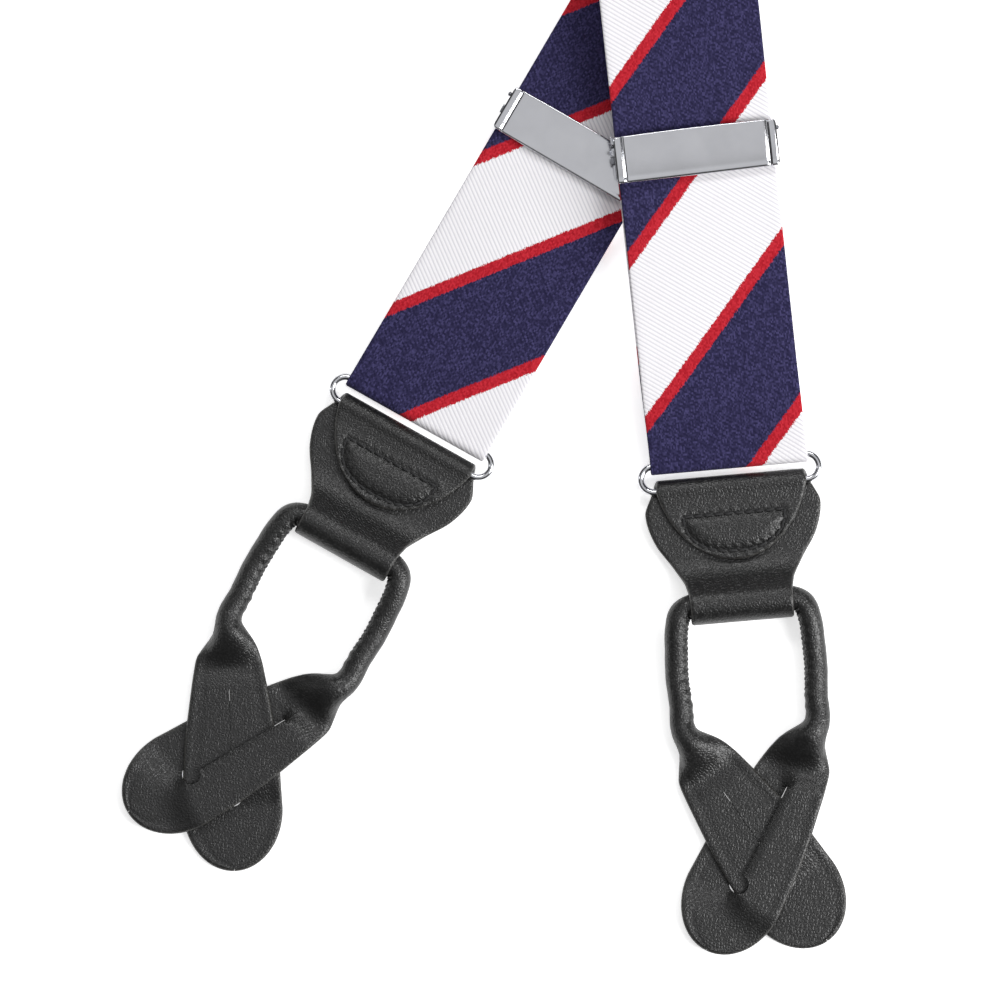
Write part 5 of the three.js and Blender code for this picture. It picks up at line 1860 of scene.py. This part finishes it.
@dataclass
class ShoulderPatch:
    """Two leathers that hold the straps and the elastic between them."""

    axes: Axes
    outfitter: Outfitter
    thickness: float = 1.5
    front_y: float = -34.0
    back_y: float = 36.0
    front_half: float = 35.0
    back_half: float = 20.5
    filling: float = 1.2
    stitch_pitch: float = 2.6

    def outline(self) -> Array:
        """Half of the outline as curves from the front's middle to the back's, mirrored."""
        fy, by, fh, bh, corner = self.front_y, self.back_y, self.front_half, self.back_half, 6.0
        t = np.linspace(0, 1, 26)[:, None]

        def quadratic(a: tuple, b: tuple, c: tuple) -> Array:
            """A curve from a to c that leaves towards b."""
            return np.array(a) * (1 - t) ** 2 + 2 * np.array(b) * t * (1 - t) + np.array(c) * t**2

        start, end = (fh - 1, fy + corner + 1), (bh, by - 4)
        b, c = (fh - 6, fy + 24), (bh, by - 30)
        sweep = np.array(start) * (1 - t) ** 3 + 3 * np.array(b) * t * (1 - t) ** 2
        sweep = sweep + 3 * np.array(c) * t**2 * (1 - t) + np.array(end) * t**3
        half = np.vstack([
            quadratic((0.0, fy - 3), (fh * 0.6, fy - 2.5), (fh - corner, fy))[:-1],
            quadratic((fh - corner, fy), (fh, fy + 1), start)[:-1],
            sweep[:-1],
            quadratic(end, (bh, by), (bh - 4, by)),
            np.column_stack([np.linspace(bh - 4, 0, 14)[1:], np.full(13, by)]),
        ])
        return np.vstack([half, (half * [-1, 1])[::-1][1:-1]])

    def pinch(self, y: Array, share: Array) -> Array:
        """How far the two leathers close on each other: along the sides, near the rim."""
        return smooth(0.86, 0.99, share) * smooth(-30, -20, y) * smooth(32, 22, y)

    def groove(self, share: Array) -> Array:
        """The stitch line's groove along the rim."""
        return -0.18 * bump(share, 0.9, 0.018)

    def build(self) -> None:
        """Makes the two leathers and the stitches that join them."""
        outline, finishes = self.outline(), self.outfitter.finishes
        upper_z = self.thickness + 2 * CLEARANCE + self.filling
        gap = upper_z - self.thickness

        def dip(x: Array, y: Array, share: Array) -> Array:
            """Height of the upper leather's lower face."""
            return upper_z - 0.85 * gap * self.pinch(y, share)

        def crown(x: Array, y: Array, share: Array) -> Array:
            """Height of the upper leather's upper face."""
            return dip(x, y, share) + self.thickness + self.groove(share)

        back = Shell(self.axes)
        add_plate(back, outline, lambda x, y, k: 0 * x, lambda x, y, k: 0 * x + self.thickness, 0.6)
        made = back.build("patch_back")
        self.outfitter.dress(made, finishes.leather, Slot.LEATHER, "patch_back_leather", "straps")
        front = Shell(self.axes)
        add_plate(front, outline, dip, crown, 0.6, rings=14)
        made = front.build("patch_front")
        self.outfitter.dress(made, finishes.leather, Slot.LEATHER, "patch_front_leather", "straps")
        centre = outline.mean(axis=0)
        flat = centre + 0.9 * (outline - centre)
        share = np.full(len(flat), 0.9)
        height = crown(flat[:, 0], flat[:, 1], share)
        places, along = resampled(np.column_stack([flat, height]), self.stitch_pitch, closed=True)
        threads = Shell(self.axes)
        add_stitches(threads, places, along, UP, 0.84 * self.stitch_pitch, 0.27)
        made = threads.build("patch_stitches")
        self.outfitter.dress(made, finishes.thread, Slot.THREAD, "patch_stitch_thread", "straps")


# ---------------- studio
@dataclass
class Studio:
    """A plain pale floor, soft lights and a camera straight above the front ends."""

    turn: float = math.radians(12)
    lens: float = 300.0
    frame_width: float = 0.240
    sensor: float = 36.0
    aside: float = -0.01698
    below: float = -0.0120
    floor_reach: float = 6.0
    floor_z: float = -0.0003

    def camera(self, rings: Array) -> None:
        """Hangs the camera over the front ends, given the middle of their two rings in metres."""
        right = np.array([math.cos(self.turn), math.sin(self.turn), 0])
        up = np.array([-math.sin(self.turn), math.cos(self.turn), 0])
        centre = rings * [1, 1, 0] + self.aside * right + self.below * up
        data = bpy.data.cameras.new("overhead")
        data.lens, data.sensor_width = self.lens, self.sensor
        data.clip_start, data.clip_end = 0.05, 20
        camera = put_in("overhead", data)
        camera.location = tuple(centre + UP * self.frame_width * self.lens / self.sensor)
        camera.rotation_euler = (0, 0, self.turn)
        bpy.context.scene.camera = camera

    def floor(self) -> None:
        """Lays a wide pale floor just under the braces."""
        mesh = bpy.data.meshes.new("floor")
        size, z = self.floor_reach, self.floor_z
        corners = [(-size, -size, z), (size, -size, z), (size, size, z), (-size, size, z)]
        mesh.from_pydata(corners, [], [(0, 1, 2, 3)])
        floor = put_in("floor", mesh)
        constants = {"Base Color": (0.93, 0.93, 0.93, 1), "Roughness": 0.9, "Specular IOR Level": 0.1,
                     "Emission Color": (1, 1, 1, 1), "Emission Strength": 0.6}
        material, _, _ = start_material("pale_floor", constants)
        mesh.materials.append(material)

    @staticmethod
    def light(name: str, place: tuple, towards: Array, size: tuple[float, float], power: float) -> None:
        """Adds a soft rectangular light that looks at a point."""
        data = bpy.data.lights.new(name, "AREA")
        data.shape, data.size, data.size_y, data.energy = "RECTANGLE", size[0], size[1], power
        lamp = put_in(name, data)
        lamp.location = place
        lamp.rotation_euler = (Vector(towards) - Vector(place)).to_track_quat("-Z", "Y").to_euler()

    def lights(self, middle: Array) -> None:
        """Sets a sky that is bright overhead and three soft boxes, the strongest from the right."""
        world = bpy.data.worlds.new("studio")
        world.use_nodes = True
        g = Graph(world.node_tree)
        direction = g.node("ShaderNodeTexCoord").outputs["Generated"]
        rise = g.node("ShaderNodeSeparateXYZ", {0: direction}).outputs[2]
        sky = world.node_tree.nodes["Background"]
        dim, bright = (0.06, 0.06, 0.06, 1), (0.74, 0.74, 0.75, 1)
        g.link(g.blend(g.step(rise, 0.79, 0.985), dim, bright), sky.inputs[0])
        bpy.context.scene.world = world
        bpy.context.scene.view_settings.view_transform = "Standard"
        x, y = float(middle[0]), float(middle[1])
        self.light("right_box", (x + 0.85, y - 0.1, 0.7), middle, (0.35, 0.9), 12.0)
        self.light("top_box", (x - 0.1, y + 0.75, 0.9), middle, (0.9, 0.22), 5.0)
        self.light("left_box", (x - 0.9, y - 0.1, 0.5), middle, (0.1, 0.7), 0.6)

    def build(self, rings: Array) -> None:
        """Sets up the whole studio."""
        self.camera(rings)
        self.floor()
        self.lights(rings)


# ---------------- assembly
def strap_lays(left: EndFrames, right: EndFrames, patch_y: float) -> dict[str, StrapLay]:
    """How the two front straps lie, from their ends' axes.

    The crossing is where the two ends' y axes meet. The left strap drops to the table
    beyond it; the right one climbs over the left adjuster and comes down later.

    Args:
        left: The left end's axes.
        right: The right end's axes.
        patch_y: The patch's middle, in millimetres.

    Returns:
        The lays by end name.
    """
    a, b = left.strap, right.strap
    reaches = np.linalg.solve(np.stack([a.rows[1][:2], -b.rows[1][:2]], axis=1), (b.origin - a.origin)[:2])
    crossing = a.origin + a.rows[1] * reaches[0]
    heading = math.asin(abs(float(a.rows[1][0])))
    chord = patch_y - float(crossing[1])
    table_z = RIBBON.thickness / 2 + 0.1
    patch_rise = 1.5 + CLEARANCE + RIBBON.thickness / 2 - table_z
    climb = math.tan(math.radians(7))
    left_from, left_to = 118, 150
    top, right_from, right_to = 112, 128, 188
    left_fall = (RUN_Z - table_z) / (left_to - left_from)
    right_fall = (RUN_Z + climb * (top - BAR_Y) - table_z) / (right_to - right_from)
    left_bends = [(left_from, left_from + 10, -left_fall), (left_to, left_to + 10, left_fall)]
    right_bends = [(BAR_Y, BAR_Y + 10, climb), (top, top + 10, -climb)]
    right_bends += [(right_from, right_from + 40, -right_fall), (right_to, right_to + 40, right_fall)]
    plans = ((left, -1, 0.0, left_bends), (right, 1, 5.0, right_bends))
    lays = {}
    for reach, (end, side, roll, bends) in zip(reaches, plans):
        swing = np.cross(end.strap.rows[1], end.ring.rows[1])[2]
        sway = math.asin(float(swing))
        bare = StrapLay(side, float(reach), heading, chord, sway, math.radians(roll), ())
        total, rise = bare.total, patch_rise / 25
        lift = [(total - 90, total - 75, rise), (total - 65, total - 50, -rise)]
        lays[end.name] = replace(bare, bends=tuple(bends + lift))
    return lays


def main() -> None:
    """Builds the braces piece by piece and reports each."""
    logging.basicConfig(level=logging.INFO, format="%(name)s: %(message)s")
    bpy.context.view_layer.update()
    ends = {name: EndFrames.read(name) for name in ("left", "right", "back")}
    rings = (ends["left"].ring.origin + ends["right"].ring.origin) / 2 * MM
    Studio().build(rings)
    outfitter = Outfitter(Finishes.mixed())
    low, high = (np.array(corner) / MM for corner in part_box("patch_back_leather"))
    patch_y = float(low[1]) - (ShoulderPatch.front_y - 3)
    patch_x = float(low[0] + high[0]) / 2
    patch_axes = Axes(np.array([patch_x, patch_y, float(low[2])]), np.eye(3))
    ShoulderPatch(patch_axes, outfitter).build()
    lays = strap_lays(ends["left"], ends["right"], patch_y)
    ribbons = {"left": outfitter.finishes.left_ribbon, "right": outfitter.finishes.right_ribbon}
    for name, lay in lays.items():
        strap = FrontStrap(ends[name], lay, outfitter, ribbons[name], patch_x)
        strap.build_strap()
        strap.build_tail()
        Adjuster(ends[name], outfitter).build()
    elastic_end = patch_axes.place(np.array([[0.0, ELASTIC_END_Y, 0.0]]))
    reach = float(ends["back"].strap.local(elastic_end)[0, 1])
    BackStrap(ends["back"], outfitter, reach).build()
    for name, end in ends.items():
        WireRing(end, outfitter).build()
        LeatherTab(end, outfitter).build()
        RolledLoop(end, outfitter, LOOP_SWAYS[name]).build()


if __name__ == "__main__":
    main()
